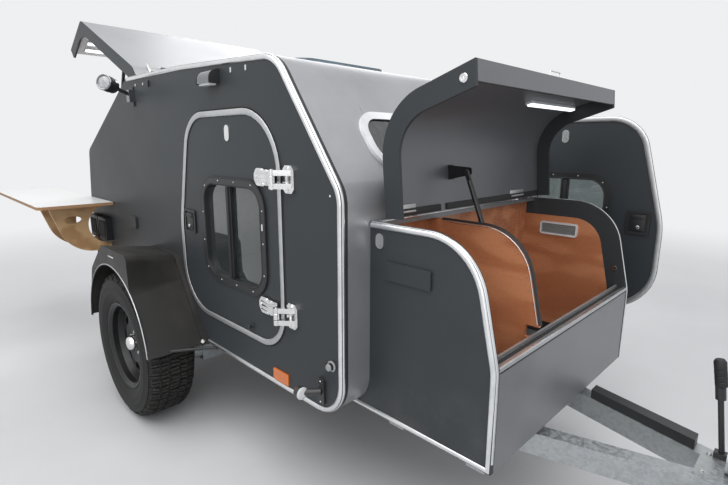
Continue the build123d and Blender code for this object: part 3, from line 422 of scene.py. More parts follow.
finishes = {
    "anthracite": coatedPanel("anthracitePanel", paint["anthracite"], 0.0, 0.44),
    "walls": twoPaints("wallPanels", paint["anthracite"], (0.42, 0.42, 0.41), insideWalls, (0.44, 0.6)),
    # the lid skin's darker grey is painted shade, the silver skin darkened
    "lidShell": twoPaints("lidShell", paint["lid"], paint["anthracite"],
                          lambda f: f.axis("Y").size() > border["lidSide"], (0.40, 0.44), (0.55, 0.0)),
    "fittings": twoPaints("wallFittings", paint["anthracite"], (0.019, 0.020, 0.021), allButFlaps,
                          (0.44, 0.36)),
    "gateSkin": twoPaints("gateSkin", paint["silver"], paint["anthracite"],
                          lambda f: f.axis("Y").size() > border["gateSide"], (0.40, 0.44), (0.55, 0.0)),
    # the boards' darker grey is painted shade, the silver skin darkened
    "board": coatedPanel("silverBoard", paint["board"], 0.5, 0.42, 0.2),
    "frameWhite": plastic("frameWhite", (0.74, 0.75, 0.76), 0.34),
    "windowAcrylic": windowAcrylic(),
    "silver": coatedPanel("silverSkin", paint["silver"], 0.55, 0.40, 0.2),
    "brightTrim": metal("brightTrim", (0.80, 0.81, 0.82), 0.30, (0.04, 1.0, 0.04)),
    "satinTrim": metal("satinTrim", (0.58, 0.59, 0.60), 0.46),
    "hingeChrome": metal("hingeChrome", (0.83, 0.83, 0.83), 0.12),
    "zinc": metal("zincSteel", (0.60, 0.61, 0.60), 0.33),
    "galvanised": galvanised(),
    "blackPlastic": plastic("blackPlastic", (0.020, 0.021, 0.022), 0.42, 0.1),
    "blackRubber": plastic("blackRubber", (0.014, 0.014, 0.015), 0.62, 0.2),
    "strutBlack": plastic("strutBlack", (0.012, 0.012, 0.013), 0.22),
    "couplingBlack": plastic("couplingBlack", (0.022, 0.022, 0.023), 0.36, 0.15, 300.0),
    "rimBlack": plastic("rimBlack", (0.011, 0.011, 0.012), 0.40, 0.05, 500.0),
    "hubIron": plastic("hubIron", (0.045, 0.042, 0.040), 0.62, 0.5, 260.0),
    "whiteLiner": plastic("whiteLiner", (0.78, 0.79, 0.80), 0.38),
    "fender": fenderPlastic(),
    "tyre": tyreRubber(),
    "pane": tintedPane(),
    "birch": plywood("birchPly", (0.58, 0.38, 0.20), (0.42, 0.24, 0.11), 0.42, (0.25, 1.0, 1.0)),
    "liner": plywood("brownLiner", (0.56, 0.235, 0.115), (0.44, 0.165, 0.075), 0.26, (0.3, 1.0, 1.0), 0.25),
    "floorPly": plywood("floorPly", (0.10, 0.065, 0.042), (0.06, 0.037, 0.024), 0.45, (0.3, 1.0, 1.0)),
    "table": tableBoard(),
    "ticking": wovenTicking(),
    "brass": metal("brassKnob", (0.80, 0.63, 0.30), 0.22),
    "greyRubber": plastic("greyRubber", (0.30, 0.31, 0.31), 0.55, 0.1),
    "lampHood": metal("lampHood", (0.26, 0.27, 0.28), 0.10),
    "lampGlass": lens("lampGlass", (0.50, 0.51, 0.52), 120.0),
    "lidHinges": twoPaints("lidHinges", (0.80, 0.80, 0.80), (0.016, 0.016, 0.017),
                           lambda f: f.axis("Y").size() < border["lidHinge"], (0.16, 0.4), (1.0, 0.0)),
    "markers": markerFinish(),
    "red": lens("redLens", (0.52, 0.02, 0.018), 260.0),
    "clear": lens("clearLens", (0.78, 0.80, 0.82), 220.0, 0.12),
    "lightBar": lightBar(),
}
print("finishes made,", len(finishes))

# slot names by finish; addPiece looks one up unless a piece names its own, but gives it to no piece
slots = {
    "anthracite": "anthracite_panel", "silver": "silver_skin", "tyre": "tyre", "rimBlack": "rim_black",
    "blackRubber": "black_plastic", "blackPlastic": "black_plastic", "greyRubber": "black_plastic",
    "hingeChrome": "hinge_chrome", "brass": "hinge_chrome", "zinc": "zinc_steel", "red": "amber_lens",
    "brightTrim": "bright_trim", "satinTrim": "bright_trim", "ticking": "mattress_fabric",
    "frameWhite": "white_liner", "whiteLiner": "white_liner", "windowAcrylic": "tinted_acrylic",
    "clear": "lamp_chrome", "lightBar": "lamp_chrome", "lampHood": "lamp_chrome", "lampGlass": "lamp_chrome",
}


# Drawing shapes, in vehicle millimetres

def roundedPath(corners, steps=8, closed=True):
    # corners are (u, v, radius); each is turned into an arc of short steps
    points = []
    count = len(corners)
    for i, (u, v, radius) in enumerate(corners):
        at = Vector((u, v))
        if radius <= 0 or (not closed and i in (0, count - 1)):
            points.append(at)
            continue
        toBefore = (Vector(corners[i - 1][:2]) - at).normalized()
        toAfter = (Vector(corners[(i + 1) % count][:2]) - at).normalized()
        half = toBefore.angle(toAfter) / 2
        reach = radius / math.tan(half)
        centre = at + (toBefore + toAfter).normalized() * radius / math.sin(half)
        start, end = at + toBefore * reach - centre, at + toAfter * reach - centre
        turn = start.angle_signed(end)
        points += [centre + Matrix.Rotation(-turn * k / steps, 2) @ start for k in range(steps + 1)]
    return points


def insetCorners(corners, depth):
    # every edge moved in by depth, or out where it is negative
    count = len(corners)
    area = sum(corners[i - 1][0] * corners[i][1] - corners[i][0] * corners[i - 1][1] for i in range(count))
    side = 1.0 if area > 0 else -1.0
    moved = []
    for i in range(count):
        before, at, after = (Vector(corners[(i + k) % count][:2]) for k in (-1, 0, 1))
        way1, way2 = (at - before).normalized(), (after - at).normalized()
        in1, in2 = side * Vector((-way1.y, way1.x)), side * Vector((-way2.y, way2.x))
        cross = way1.x * way2.y - way1.y * way2.x
        shift = (in1 + in2) * depth / (1 + in1.dot(in2))
        radius = corners[i][2]
        if radius > 0:
            radius = max(radius - depth if side * cross > 0 else radius + depth, 0.0)
        moved.append((at.x + shift.x, at.y + shift.y, radius))
    return moved


def inset(corners, depth, steps=10):
    return roundedPath(insetCorners(corners, depth), steps)


def rectangle(u0, v0, u1, v1, radius):
    return [(u0, v0, radius), (u1, v0, radius), (u1, v1, radius), (u0, v1, radius)]


def sideFace(u, v, w):
    # outlines are drawn as seen from the side, unless another lift is given
    return u, w, v


class Form:
    # gathers shapes in vehicle millimetres and ends as one piece in its place
    def __init__(self):
        self.mesh = bmesh.new()

    def soften(self, verts, radius, segments=2):
        edges = {edge for vert in verts for edge in vert.link_edges if edge.calc_face_angle(0.0) > 0.3}
        bmesh.ops.bevel(self.mesh, geom=list(edges), offset=radius, segments=segments, profile=0.5,
                        affect="EDGES", clamp_overlap=True)

    def skin(self, rings):
        # faces from each ring of points to the next; a ring of one point makes a tip
        for one, two in zip(rings, rings[1:]):
            count = max(len(one), len(two))
            for k in range(count):
                n = (k + 1) % count
                corners = [one[k % len(one)], one[n % len(one)], two[n % len(two)], two[k % len(two)]]
                self.mesh.faces.new(list(dict.fromkeys(corners)))
        return self

    def closed(self, rings):
        self.mesh.faces.new(rings[0][::-1])
        self.mesh.faces.new(rings[-1])
        return self.skin(rings)

    def circle(self, middle, way, arm, steps):
        turns = [Matrix.Rotation(2 * math.pi * k / steps, 3, way) @ arm for k in range(steps)]
        return [self.mesh.verts.new(middle + turn) for turn in turns]

    def box(self, x, y, h, soft=0.0, segments=2):
        verts = bmesh.ops.create_cube(self.mesh, size=1.0)["verts"]
        for vert in verts:
            share = vert.co + Vector((0.5, 0.5, 0.5))
            vert.co = [low + (high - low) * s for (low, high), s in zip(map(sorted, (x, y, h)), share)]
        if soft:
            self.soften(verts, soft, segments)
        return self

    def slab(self, points, y0, y1, soft=0.0, lift=sideFace):
        # prism of a side outline (x, h) between two y, or of (u, v) through lift(u, v, w)
        low, high = ([self.mesh.verts.new(lift(p[0], p[1], y)) for p in points] for y in (y0, y1))
        self.closed((low, high))
        if soft:
            self.soften(low + high, soft)
        return self

    def frame(self, outer, inner, y0, y1, soft, lift=sideFace):
        # ring prism between two outlines with as many points each
        loops = [[self.mesh.verts.new(lift(p[0], p[1], y)) for p in points]
                 for y, points in ((y0, outer), (y0, inner), (y1, inner), (y1, outer))]
        self.skin([loops[k] for k in (0, 3, 2, 1, 0)])
        self.soften([vert for loop in loops for vert in loop], soft, 1)
        return self

    def pill(self, x, h, width, height, y0, y1, soft=1.0):
        # upright plate with round ends on a side face
        across, up = width / 2, height / 2
        corners = rectangle(x - across, h - up, x + across, h + up, across * 0.98)
        return self.slab(roundedPath(corners, 6), y0, y1, soft)

    def lathe(self, profile, start, way, steps=32):
        # profile of (radius, distance along way), closed at the axis where a radius is 0
        way = Vector(way).normalized()
        across = way.orthogonal().normalized()
        rings = []
        for radius, along in profile:
            middle = Vector(start) + way * along
            if radius > 0:
                rings.append(self.circle(middle, way, across * radius, steps))
            else:
                rings.append([self.mesh.verts.new(middle)])
        self.skin(rings)
        if profile[0] == profile[-1]:
            bmesh.ops.remove_doubles(self.mesh, verts=rings[0] + rings[-1], dist=0.001)
        return self

    def rod(self, path, radius):
        # round bar along points, with closed ends
        points = [Vector(p) for p in path]
        across = (points[1] - points[0]).orthogonal()
        rings = []
        for i, at in enumerate(points):
            way = (points[min(i + 1, len(points) - 1)] - points[max(i - 1, 0)]).normalized()
            across = (across - way * across.dot(way)).normalized()
            rings.append(self.circle(at, way, across * radius, 12))
        return self.closed(rings)

    def moved(self, turn):
        # every point through turn, a function of one vehicle place
        for vert in self.mesh.verts:
            vert.co = turn(vert.co)
        return self

    def solid(self, name, turn=lambda at: place(*at), weld=0.00001):
        # the shape in its place, as a mesh with its faces outwards
        self.moved(turn)
        if weld:
            bmesh.ops.remove_doubles(self.mesh, verts=self.mesh.verts, dist=weld)
        bmesh.ops.recalc_face_normals(self.mesh, faces=self.mesh.faces)
        return meshFrom(self.mesh, name)

    def piece(self, name, finish, body="trailer", slot=None, smooth=35.0):
        return addPiece(name, self.solid(name), finish, body, slot, smooth)


def meshFrom(form, name):
    mesh = bpy.data.meshes.new(name)
    form.to_mesh(mesh)
    form.free()
    return mesh


def addPiece(name, mesh, finish, body, slot, smooth):
    if not mesh.materials:
        mesh.materials.append(finishes[finish])
    mesh.shade_smooth()
    mesh.set_sharp_from_angle(angle=math.radians(smooth))
    piece = addObject(name, mesh)
    slot = slot or slots[finish]
    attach(piece, body)
    return piece


def tiltAbout(pivot, degrees):
    # positive lowers what lies ahead of the pivot
    angle = math.radians(degrees)

    def turn(at):
        dx, dh = at[0] - pivot[0], at[2] - pivot[1]
        return Vector((pivot[0] + dx * math.cos(angle) + dh * math.sin(angle), at[1],
                       pivot[1] - dx * math.sin(angle) + dh * math.cos(angle)))
    return turn


openLid = tiltAbout(vehicle["lidPivot"], -vehicle["lidOpen"])
openGate = tiltAbout(vehicle["gatePivot"], vehicle["gateOpen"])


def onLeftDoor(at):
    # drawn on the closed right door, carried to the left one, which is folded forward
    pinX, pinY = vehicle["doorPin"]
    return Vector((2 * pinX - at[0], 2 * pinY + at[1], at[2]))


def spread(points, pitch):
    # places along a closed path at about one pitch from each other, with the first half a pitch in
    lengths = [(points[(i + 1) % len(points)] - p).length for i, p in enumerate(points)]
    total = sum(lengths)
    count = round(total / pitch)
    found = []
    for k in range(count):
        left = total * (k + 0.5) / count
        for p, q, length in zip(points, points[1:] + points[:1], lengths):
            if left <= length:
                found.append(p + (q - p) * (left / length))
                break
            left -= length
    return found


sides = (("Right", -1), ("Left", 1))
doorSides = (("Right", "door_right", Vector), ("Left", "door_left", onLeftDoor))


# Geometry Nodes recipes

def evaluatedMesh(holder):
    bpy.context.view_layer.update()
    evaluated = holder.evaluated_get(bpy.context.evaluated_depsgraph_get())
    return bpy.data.meshes.new_from_object(evaluated)


class Recipe(Tree):
    # a geometry tree with named inputs; make() runs it on a form and keeps the plain mesh
    kinds = {float: "NodeSocketFloat", int: "NodeSocketInt", tuple: "NodeSocketVector",
             bpy.types.Material: "NodeSocketMaterial", bpy.types.Object: "NodeSocketObject"}

    def __init__(self, name, **inputs):
        group = bpy.data.node_groups.new(name, "GeometryNodeTree")
        super().__init__(group)
        for way in ("INPUT", "OUTPUT"):
            group.interface.new_socket("Geometry", in_out=way, socket_type="NodeSocketGeometry")
        self.identifiers = {}
        for key, kind in {**inputs, "finish": bpy.types.Material}.items():
            socket = group.interface.new_socket(key, in_out="INPUT", socket_type=self.kinds[kind])
            self.identifiers[key] = socket.identifier
        self.start = group.nodes.new("NodeGroupInput")
        self.end = group.nodes.new("NodeGroupOutput")

    def given(self, key):
        return Wire(self, self.start.outputs[key])

    def finish(self, geometry):
        plain = self.add("GeometryNodeRealizeInstances", sockets={"Geometry": geometry})
        sockets = {"Geometry": plain, "Material": self.given("finish")}
        self.feed(self.end.inputs["Geometry"], self.add("GeometryNodeSetMaterial", sockets=sockets))
        return self

    def make(self, base, name, finish, body="trailer", slot=None, smooth=35.0, **values):
        # base is a plain mesh in its place
        holder = addObject(name + "Base", base)
        modifier = holder.modifiers.new("recipe", "NODES")
        modifier.node_group = self.nodeTree
        for key, value in {**values, "finish": finishes[finish]}.items():
            modifier[self.identifiers[key]] = value
        mesh = evaluatedMesh(holder)
        mesh.name = name
        holder.modifiers.remove(modifier)
        bpy.data.objects.remove(holder)
        if "facing" in mesh.attributes:
            mesh.attributes.remove(mesh.attributes["facing"])
        return addPiece(name, mesh, finish, body, slot, smooth)


def followRecipe():
    # an oval section swept along edges; stand is the way that its height points
    recipe = Recipe("followEdge", width=float, height=float, stand=tuple)
    path = recipe.add("GeometryNodeMeshToCurve", sockets={0: recipe.given("Geometry")})
    sockets = {"Curve": path, "Normal": recipe.given("stand")}
    aimed = recipe.add("GeometryNodeSetCurveNormal", {"mode": "FREE"}, sockets)
    sockets = {"Resolution": 12, "Radius": 0.5}
    circle = recipe.add("GeometryNodeCurvePrimitiveCircle", {"mode": "RADIUS"}, sockets)
    sockets = {0: recipe.given("height"), 1: recipe.given("width"), 2: 1.0}
    size = recipe.add("ShaderNodeCombineXYZ", sockets=sockets)
    section = recipe.add("GeometryNodeTransform", sockets={"Geometry": circle, "Scale": size})
    sockets = {"Curve": aimed, "Profile Curve": section, "Fill Caps": True}
    return recipe.finish(recipe.add("GeometryNodeCurveToMesh", sockets=sockets))


def studRecipe():
    # one pattern at every point, its +Z turned to the point's own facing
    recipe = Recipe("setStuds", pattern=bpy.types.Object, spin=float)
    facing = recipe.add("GeometryNodeInputNamedAttribute", {"data_type": "FLOAT_VECTOR"}, {"Name": "facing"})
    aim = recipe.add("FunctionNodeAlignRotationToVector", {"axis": "Z"}, {"Vector": facing})
    index = recipe.add("GeometryNodeInputIndex")
    about = recipe.add("ShaderNodeCombineXYZ", sockets={2: index * recipe.given("spin")})
    roll = recipe.add("FunctionNodeEulerToRotation", sockets={0: about})
    sockets = {"Rotation": aim, "Rotate By": roll}
    turned = recipe.add("FunctionNodeRotateRotation", {"rotation_space": "LOCAL"}, sockets)
    sockets = {"Object": recipe.given("pattern")}
    pattern = recipe.add("GeometryNodeObjectInfo", sockets=sockets, output="Geometry")
    sockets = {"Points": recipe.given("Geometry"), "Instance": pattern, "Rotation": turned}
    return recipe.finish(recipe.add("GeometryNodeInstanceOnPoints", sockets=sockets))


def ringRecipe():
    # the base shape repeated round an axis along Y
    recipe = Recipe("repeatRound", copies=int, middle=tuple)
    sockets = {"Count": recipe.given("copies"), "Offset": (0.0, 0.0, 0.0)}
    points = recipe.add("GeometryNodeMeshLine", sockets=sockets)
    index = recipe.add("GeometryNodeInputIndex")
    step = 2 * math.pi / recipe.given("copies")
    about = recipe.add("ShaderNodeCombineXYZ", sockets={1: index * step})
    middle = recipe.given("middle")
    away = recipe.add("ShaderNodeVectorMath", {"operation": "SCALE"}, {0: middle, "Scale": -1.0})
    sockets = {"Geometry": recipe.given("Geometry"), "Translation": away}
    centred = recipe.add("GeometryNodeTransform", sockets=sockets)
    sockets = {"Points": points, "Instance": centred, "Rotation": about}
    ring = recipe.add("GeometryNodeInstanceOnPoints", sockets=sockets)
    plain = recipe.add("GeometryNodeRealizeInstances", sockets={"Geometry": ring})
    sockets = {"Geometry": plain, "Translation": middle}
    return recipe.finish(recipe.add("GeometryNodeTransform", sockets=sockets))


def rowRecipe():
    # the base shape repeated in a straight row
    recipe = Recipe("repeatInRow", copies=int, pitch=tuple)
    sockets = {"Count": recipe.given("copies"), "Offset": recipe.given("pitch")}
    points = recipe.add("GeometryNodeMeshLine", sockets=sockets)
    sockets = {"Points": points, "Instance": recipe.given("Geometry")}
    return recipe.finish(recipe.add("GeometryNodeInstanceOnPoints", sockets=sockets))


follow, studs, ring, row = followRecipe(), studRecipe(), ringRecipe(), rowRecipe()


def sweep(name, points, finish, width, height, body="trailer", slot=None, closed=False,
          stand=(0.0, 1.0, 0.0)):
    # an oval bead along points, its width and height in millimetres
    path = bpy.data.meshes.new("path")
    edges = [(i, i + 1) for i in range(len(points) - 1)]
    if closed:
        edges.append((len(points) - 1, 0))
    path.from_pydata([place(*p) for p in points], edges, [])
    return follow.make(path, name, finish, body, slot, width=width / 1000, height=height / 1000, stand=stand)


def fasten(name, points, facings, pattern, spin, finish="hingeChrome", body="trailer"):
    # a copy of pattern at each point, facing its own way
    mesh = bpy.data.meshes.new("points")
    mesh.from_pydata([place(*p) for p in points], [], [])
    facing = mesh.attributes.new("facing", "FLOAT_VECTOR", "POINT")
    facing.data.foreach_set("vector", [c for f in facings for c in f])
    studs.make(mesh, name, finish, body, pattern=pattern, spin=spin)


def outwards(points):
    return [(0, 1 if p[1] > 0 else -1, 0) for p in points]


def turnedPattern(name, *shapes):
    # turned shapes of (profile, steps) about 0, 0, 0, kept as an object that recipes copy
    form = Form()
    for profile, steps in shapes:
        form.lathe(profile, (0, 0, 0), (0, 0, 1), steps)
    return bpy.data.objects.new(name, form.solid(name, lambda at: at / 1000, 0.0))


def boltHead(radius, height, washer=1.35):
    # hexagon head on a washer
    wide, low = radius * washer, height * 0.18
    head = [(0, low), (radius, low), (radius, height * 0.9), (radius * 0.86, height), (0, height)]
    return turnedPattern("boltHead", ([(0, 0), (wide, 0), (wide, low), (0, low)], 20), (head, 6))


def screwHead(radius, height):
    # low round head with a socket in it
    shares = [(0, 0), (1, 0), (1, 0.3), (0.85, 0.75), (0.55, 1), (0.4, 1), (0.4, 0.4), (0, 0.4)]
    return turnedPattern("screwHead", ([(radius * across, height * up) for across, up in shares], 14))


hexBolt, smallScrew, strapBolt = boltHead(6.5, 5.5), screwHead(3.4, 2.4), boltHead(5.0, 4.5)
wheelNut = boltHead(9.5, 17.0, 1.15)


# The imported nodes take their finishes

nodeFinishes = {
    "walls": ("side_walls", "door_right_panel", "door_left_panel"),
    "anthracite": ("nose_box_sides", "rear_panel", "tailgate_flanges"),
    "silver": ("front_panel", "roof_panel"),
    "board": ("nose_box_boards",),
    "gateSkin": ("tailgate_skin",),
    "lidShell": ("nose_lid_shell",),
    "frameWhite": ("window_frames",),
    "floorPly": ("floor_panel",),
    "brightTrim": ("edge_trims",),
    "satinTrim": ("nose_box_sill",),
    "blackPlastic": ("door_right_window", "door_left_window", "drawbar_duct"),
    "fittings": ("wall_fittings",),
    "pane": ("door_right_glass", "door_left_glass"),
    "windowAcrylic": ("window_panes",),
    "birch": ("galley_boards", "table_brackets"),
    "liner": ("nose_box_linings",),
    "hingeChrome": ("door_right_hardware", "door_left_hardware", "hinge_brackets", "tailgate_hinges"),
    "lidHinges": ("nose_lid_hinges",),
    "whiteLiner": ("tailgate_liner",),
    "strutBlack": ("nose_strut_tube", "tailgate_strut_tube_right", "tailgate_strut_tube_left"),
    "zinc": ("nose_strut_rod", "tailgate_strut_rod_right", "tailgate_strut_rod_left", "strut_seats",
             "jockey_tube", "jockey_stem", "jockey_fork"),
    "galvanised": ("chassis_rails", "crossbars", "axle_beam", "drawbar_clamps"),
    "couplingBlack": ("coupling_head", "handbrake_lever"),
    "rimBlack": ("wheel_rim_right", "wheel_rim_left"),
    "hubIron": ("wheel_hub_right", "wheel_hub_left"),
    "tyre": ("tyre_right", "tyre_left", "jockey_wheel"),
    "fender": ("fenders",),
    "table": ("side_table",),
    "ticking": ("mattress",),
    "markers": ("marker_lamps",),
    "lampHood": ("lamps",),
}
for finish, names in nodeFinishes.items():
    for name in names:
        materials = nodes[name].data.materials
        materials.clear()
        materials.append(finishes[finish])
print("nodes repainted")


# Tyres: carcass with ribs, letterless sidewalls, and all-terrain blocks all round

tyreLook = {
    "pitches": 27,             # block rows round the tyre
    "treadDepth": 13.0,
    "sipe": 0.02,              # half the cut across each block, as a share of the pitch
    "slant": 0.05,
    # outer surface of the tread over its width, down over the shoulders: (across, radius)
    "crown": ((0.0, 367.0), (73.5, 366.0), (95.5, 357.0), (109.5, 337.0)),
    # from the bead over the sidewall's ribs to the shoulder: (radius, across)
    "sidewall": ((204.0, 60), (204.0, 88), (215.0, 91.5), (221.0, 97), (228.0, 103), (232.0, 103),
                 (236.0, 106), (262.0, 113), (266.0, 114.6), (270.0, 113.8), (296.0, 117.3),
                 (300.0, 115.2), (322.0, 112.5), (332.0, 108.5)),
    # grooves' floor: where the crown is taken, where it is drawn
    "grooves": ((106, 105), (95, 95), (73, 73), (20, 20)),
    # blocks of one pitch: from where to where across the tread, and round it in shares of the pitch
    "blocks": ((-20, 19, 0.06, 0.44), (-14, 25, 0.55, 0.93), (30, 60, 0.03, 0.38), (26, 56, 0.52, 0.87),
               (-60, -30, 0.13, 0.48), (-56, -26, 0.62, 0.97), (70, 106, 0.06, 0.36), (65, 100, 0.55, 0.86),
               (-106, -70, 0.12, 0.42), (-100, -65, 0.61, 0.92)),
    "taper": ((1.5, 0.015), (0.0, 0.05)),     # depth, how far a block's sides lean in there
    "blockWidth": 40.0,                       # width to which taper and slant refer
}


def crownRadius(across):
    away = abs(across)
    for (a, ra), (b, rb) in zip(tyreLook["crown"], tyreLook["crown"][1:]):
        if away <= b:
            return ra + (rb - ra) * (away - a) / (b - a)
    return tyreLook["crown"][-1][1]


def treadPitch():
    # the blocks of one pitch, bent round the wheel
    form = Form()
    pitch, width = 2 * math.pi / tyreLook["pitches"], tyreLook["blockWidth"]
    for low, high, start, end in tyreLook["blocks"]:
        middle = (start + end) / 2
        columns = [low + (high - low) * k / 2 for k in range(3)]
        slant = tyreLook["slant"] if (low + high) > 0 else -tyreLook["slant"]
        for first, last in ((start, middle - tyreLook["sipe"]), (middle + tyreLook["sipe"], end)):
            rings = []
            for depth, shrink in ((tyreLook["treadDepth"] + 4, 0.0), *tyreLook["taper"]):
                ring = []
                for across in columns + columns[::-1]:
                    front = len(ring) < 3
                    share = (first + shrink if front else last - shrink) + slant * (across - low) / width
                    lean = shrink * width
                    edge = across + (lean if across == low else -lean if across == high else 0)
                    radius = crownRadius(edge) - depth
                    angle = share * pitch
                    at = (radius * math.sin(angle), edge, radius * math.cos(angle))
                    ring.append(form.mesh.verts.new(at))
                rings.append(ring)
            form.skin(rings)
            top = rings[-1]
            form.mesh.faces.new((top[0], top[1], top[4], top[5]))
            form.mesh.faces.new((top[1], top[2], top[3], top[4]))
    return form


def tyrePieces():
    half = list(tyreLook["sidewall"])
    half += [(crownRadius(across) - tyreLook["treadDepth"], at) for across, at in tyreLook["grooves"]]
    section = half + [(radius, -across) for radius, across in reversed(half)]
    for name, side in sides:
        middle = Vector((0, side * vehicle["wheelY"], vehicle["tyreRadius"]))
        wheel = "wheel_" + name.lower()
        carcass = Form().lathe(section + [(198.0, -40), (198.0, 40), (204.0, 60)], middle, (0, 1, 0), 96)
        body = carcass.piece("tyreCarcass" + name, "tyre", wheel, smooth=30)
        base = treadPitch().moved(lambda at: at + middle).solid("treadPitch")
        ring.make(base, "tyreTread" + name, "tyre", wheel, smooth=30, copies=tyreLook["pitches"],
                  middle=place(*middle))
        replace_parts(body, "tyre_" + name.lower())


tyrePieces()
print("tyres made")


# Mattress: a foam block in ticking, swollen by a short cloth run, with piped edges

mattressLook = {"start": 0.988, "bevel": 0.018, "voxel": 0.016, "pressure": 3.0, "frames": 20, "crown": 0.006,
                "piping": 8.0, "pipingInset": 13.0}


def mattressPiece():
    low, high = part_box("mattress")
    middle, size = (Vector(low) + Vector(high)) / 2, Vector(high) - Vector(low)
    start = bmesh.new()
    bmesh.ops.create_cube(start, size=1.0)
    for vert in start.verts:
        vert.co = middle + Vector([c * s * mattressLook["start"] for c, s in zip(vert.co, size)])
    bmesh.ops.bevel(start, geom=list(start.edges), offset=mattressLook["bevel"], segments=3, profile=0.5,
                    affect="EDGES")
    pad = addObject("mattressPad", meshFrom(start, "mattressPad"))
    remesh = pad.modifiers.new("even", "REMESH")
    remesh.mode = "VOXEL"
    remesh.voxel_size = mattressLook["voxel"]
    cloth = pad.modifiers.new("swell", "CLOTH")
    cloth.settings.use_pressure = True
    cloth.settings.uniform_pressure_force = mattressLook["pressure"]
    cloth.settings.effector_weights.gravity = 0.0
    for number in range(mattressLook["frames"]):
        bpy.context.scene.frame_set(number + 1)
    soft = evaluatedMesh(pad)
    pad.modifiers.clear()
    bpy.context.scene.frame_set(1)
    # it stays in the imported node's box, with a low crown on top
    top = Vector(high) + Vector((0.0, 0.0, mattressLook["crown"]))
    for vert in soft.vertices:
        vert.co = [min(max(c, a), b) for c, a, b in zip(vert.co, low, top)]
    pad.data = soft
    soft.materials.clear()
    soft.materials.append(finishes["ticking"])
    soft.shade_smooth()
    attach(pad, "trailer")
    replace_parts(pad, "mattress")
    first, last = unplaced(low), unplaced(high)
    loop = roundedPath(rectangle(first.x + 6, 4 - last.y, last.x - 6, last.y - 4, 60), 6)
    piping, inwards = mattressLook["piping"], mattressLook["pipingInset"]
    for name, height in (("Top", last.z - inwards), ("Bottom", first.z + inwards)):
        sweep("mattressPiping" + name, [(u, v, height) for u, v in loop], "ticking", piping, piping,
              closed=True, stand=(0.0, 0.0, 1.0))


mattressPiece()
print("mattress made")


# Bright edge trims on the cabin and the nose box

cabinCorners = [(1347, 436, 130), (1347, 1205, 120), (1025, 1650, 150), (320, 1683, 2500), (-330, 1690, 110),
                (-1108, 1308, 60), (-1172, 1005, 300), (-1172, 436, 90)]
boxCorners = [(1200, 436, 0), (1826, 436, 0), (1826, 745, 200), (1742, 1108, 200), (1200, 1108, 0)]
trimLook = {"inset": 10.0, "width": 17.5, "height": 11.0, "cabinFace": 673.0, "boxFace": 547.0}


def inOrder(points, x, h, wanted, back=False):
    # the wanted points, in the order of their direction from (x, h)
    kept = [p for p in points if wanted(*p)]
    return sorted(kept, key=lambda p: math.atan2(p[1] - h, p[0] - x), reverse=back)


def cabinEdge(loop):
    # from the roof's rear corner forward, down the front and back along the bottom to the fender
    return inOrder(loop, 200, 1000, lambda x, h: x > -318 and (h > 560 or x > 402), True)


def trimPieces():
    loop = inset(cabinCorners, trimLook["inset"])
    front = [(-318, 1679.6)] + cabinEdge(loop) + [(418, 446)]
    rear = [(-418, 446)] + [p for p in loop if p[0] < -420 and p[1] < 566][::-1] + [(-1162, 566)]
    box = inOrder(inset(boxCorners, trimLook["inset"], 12), 1300, 800, lambda x, h: x > 1300)
    box = [(1270, 446)] + box + [(1352, 1098)]
    cabinFace, boxFace = trimLook["cabinFace"], trimLook["boxFace"]
    for mark, side in sides:
        for name, points, face in (("cabinTrim", front, cabinFace), ("cabinRearTrim", rear, cabinFace),
                                   ("boxTrim", box, boxFace)):
            piece = sweep(name + mark, [(p[0], side * face, p[1]) for p in points], "brightTrim",
                          trimLook["width"], trimLook["height"])
            if name == "cabinTrim" and side < 0:
                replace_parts(piece, "edge_trims")


trimPieces()
print("trims made")


# Doors: closing strips, wall seals, window rims, latches and straps

doorCorners = [(228, 588, 215), (1033, 588, 150), (1033, 1475, 230), (352, 1475, 170), (228, 1000, 400)]
windowCorners = rectangle(445, 768, 939, 1221, 110)
doorLook = {
    # outline, inset, distance from the centreline, width, height, finish
    "rims": {"doorStrip": (doorCorners, 4.0, 675.5, 24.0, 7.0, "satinTrim"),
             "windowBead": (windowCorners, 4.0, 677.5, 8.0, 8.0, "blackRubber"),
             "windowInner": (windowCorners, 30.0, 680.0, 6.0, 6.0, "blackRubber"),
             "windowRoom": (windowCorners, 20.0, 641.0, 22.0, 6.0, "blackPlastic")},
    "sealOut": 12.0, "sealWidth": 6.4, "sealHeight": 5.0,
    "screwInset": 16.0, "screwPitch": 122.0,
    "hinges": (750.0, 1236.0),
    "latch": (322.0, 1005.0),
    "blankPlate": (687.0, 1394.0),
    "stop": (807.0, 631.0),
    "wall": 672.0,
}


def sideLoop(corners, depth, out, turn):
    # closed path on the right face, out from the centreline
    return [turn((x, -out, h)) for x, h in inset(corners, depth)]


def doorStuds(name, points, pattern, spin, finish, body, turn):
    facing = turn((0, -1, 0)) - turn((0, 0, 0))
    fasten(name, [turn(p) for p in points], [facing] * len(points), pattern, spin, finish, body)


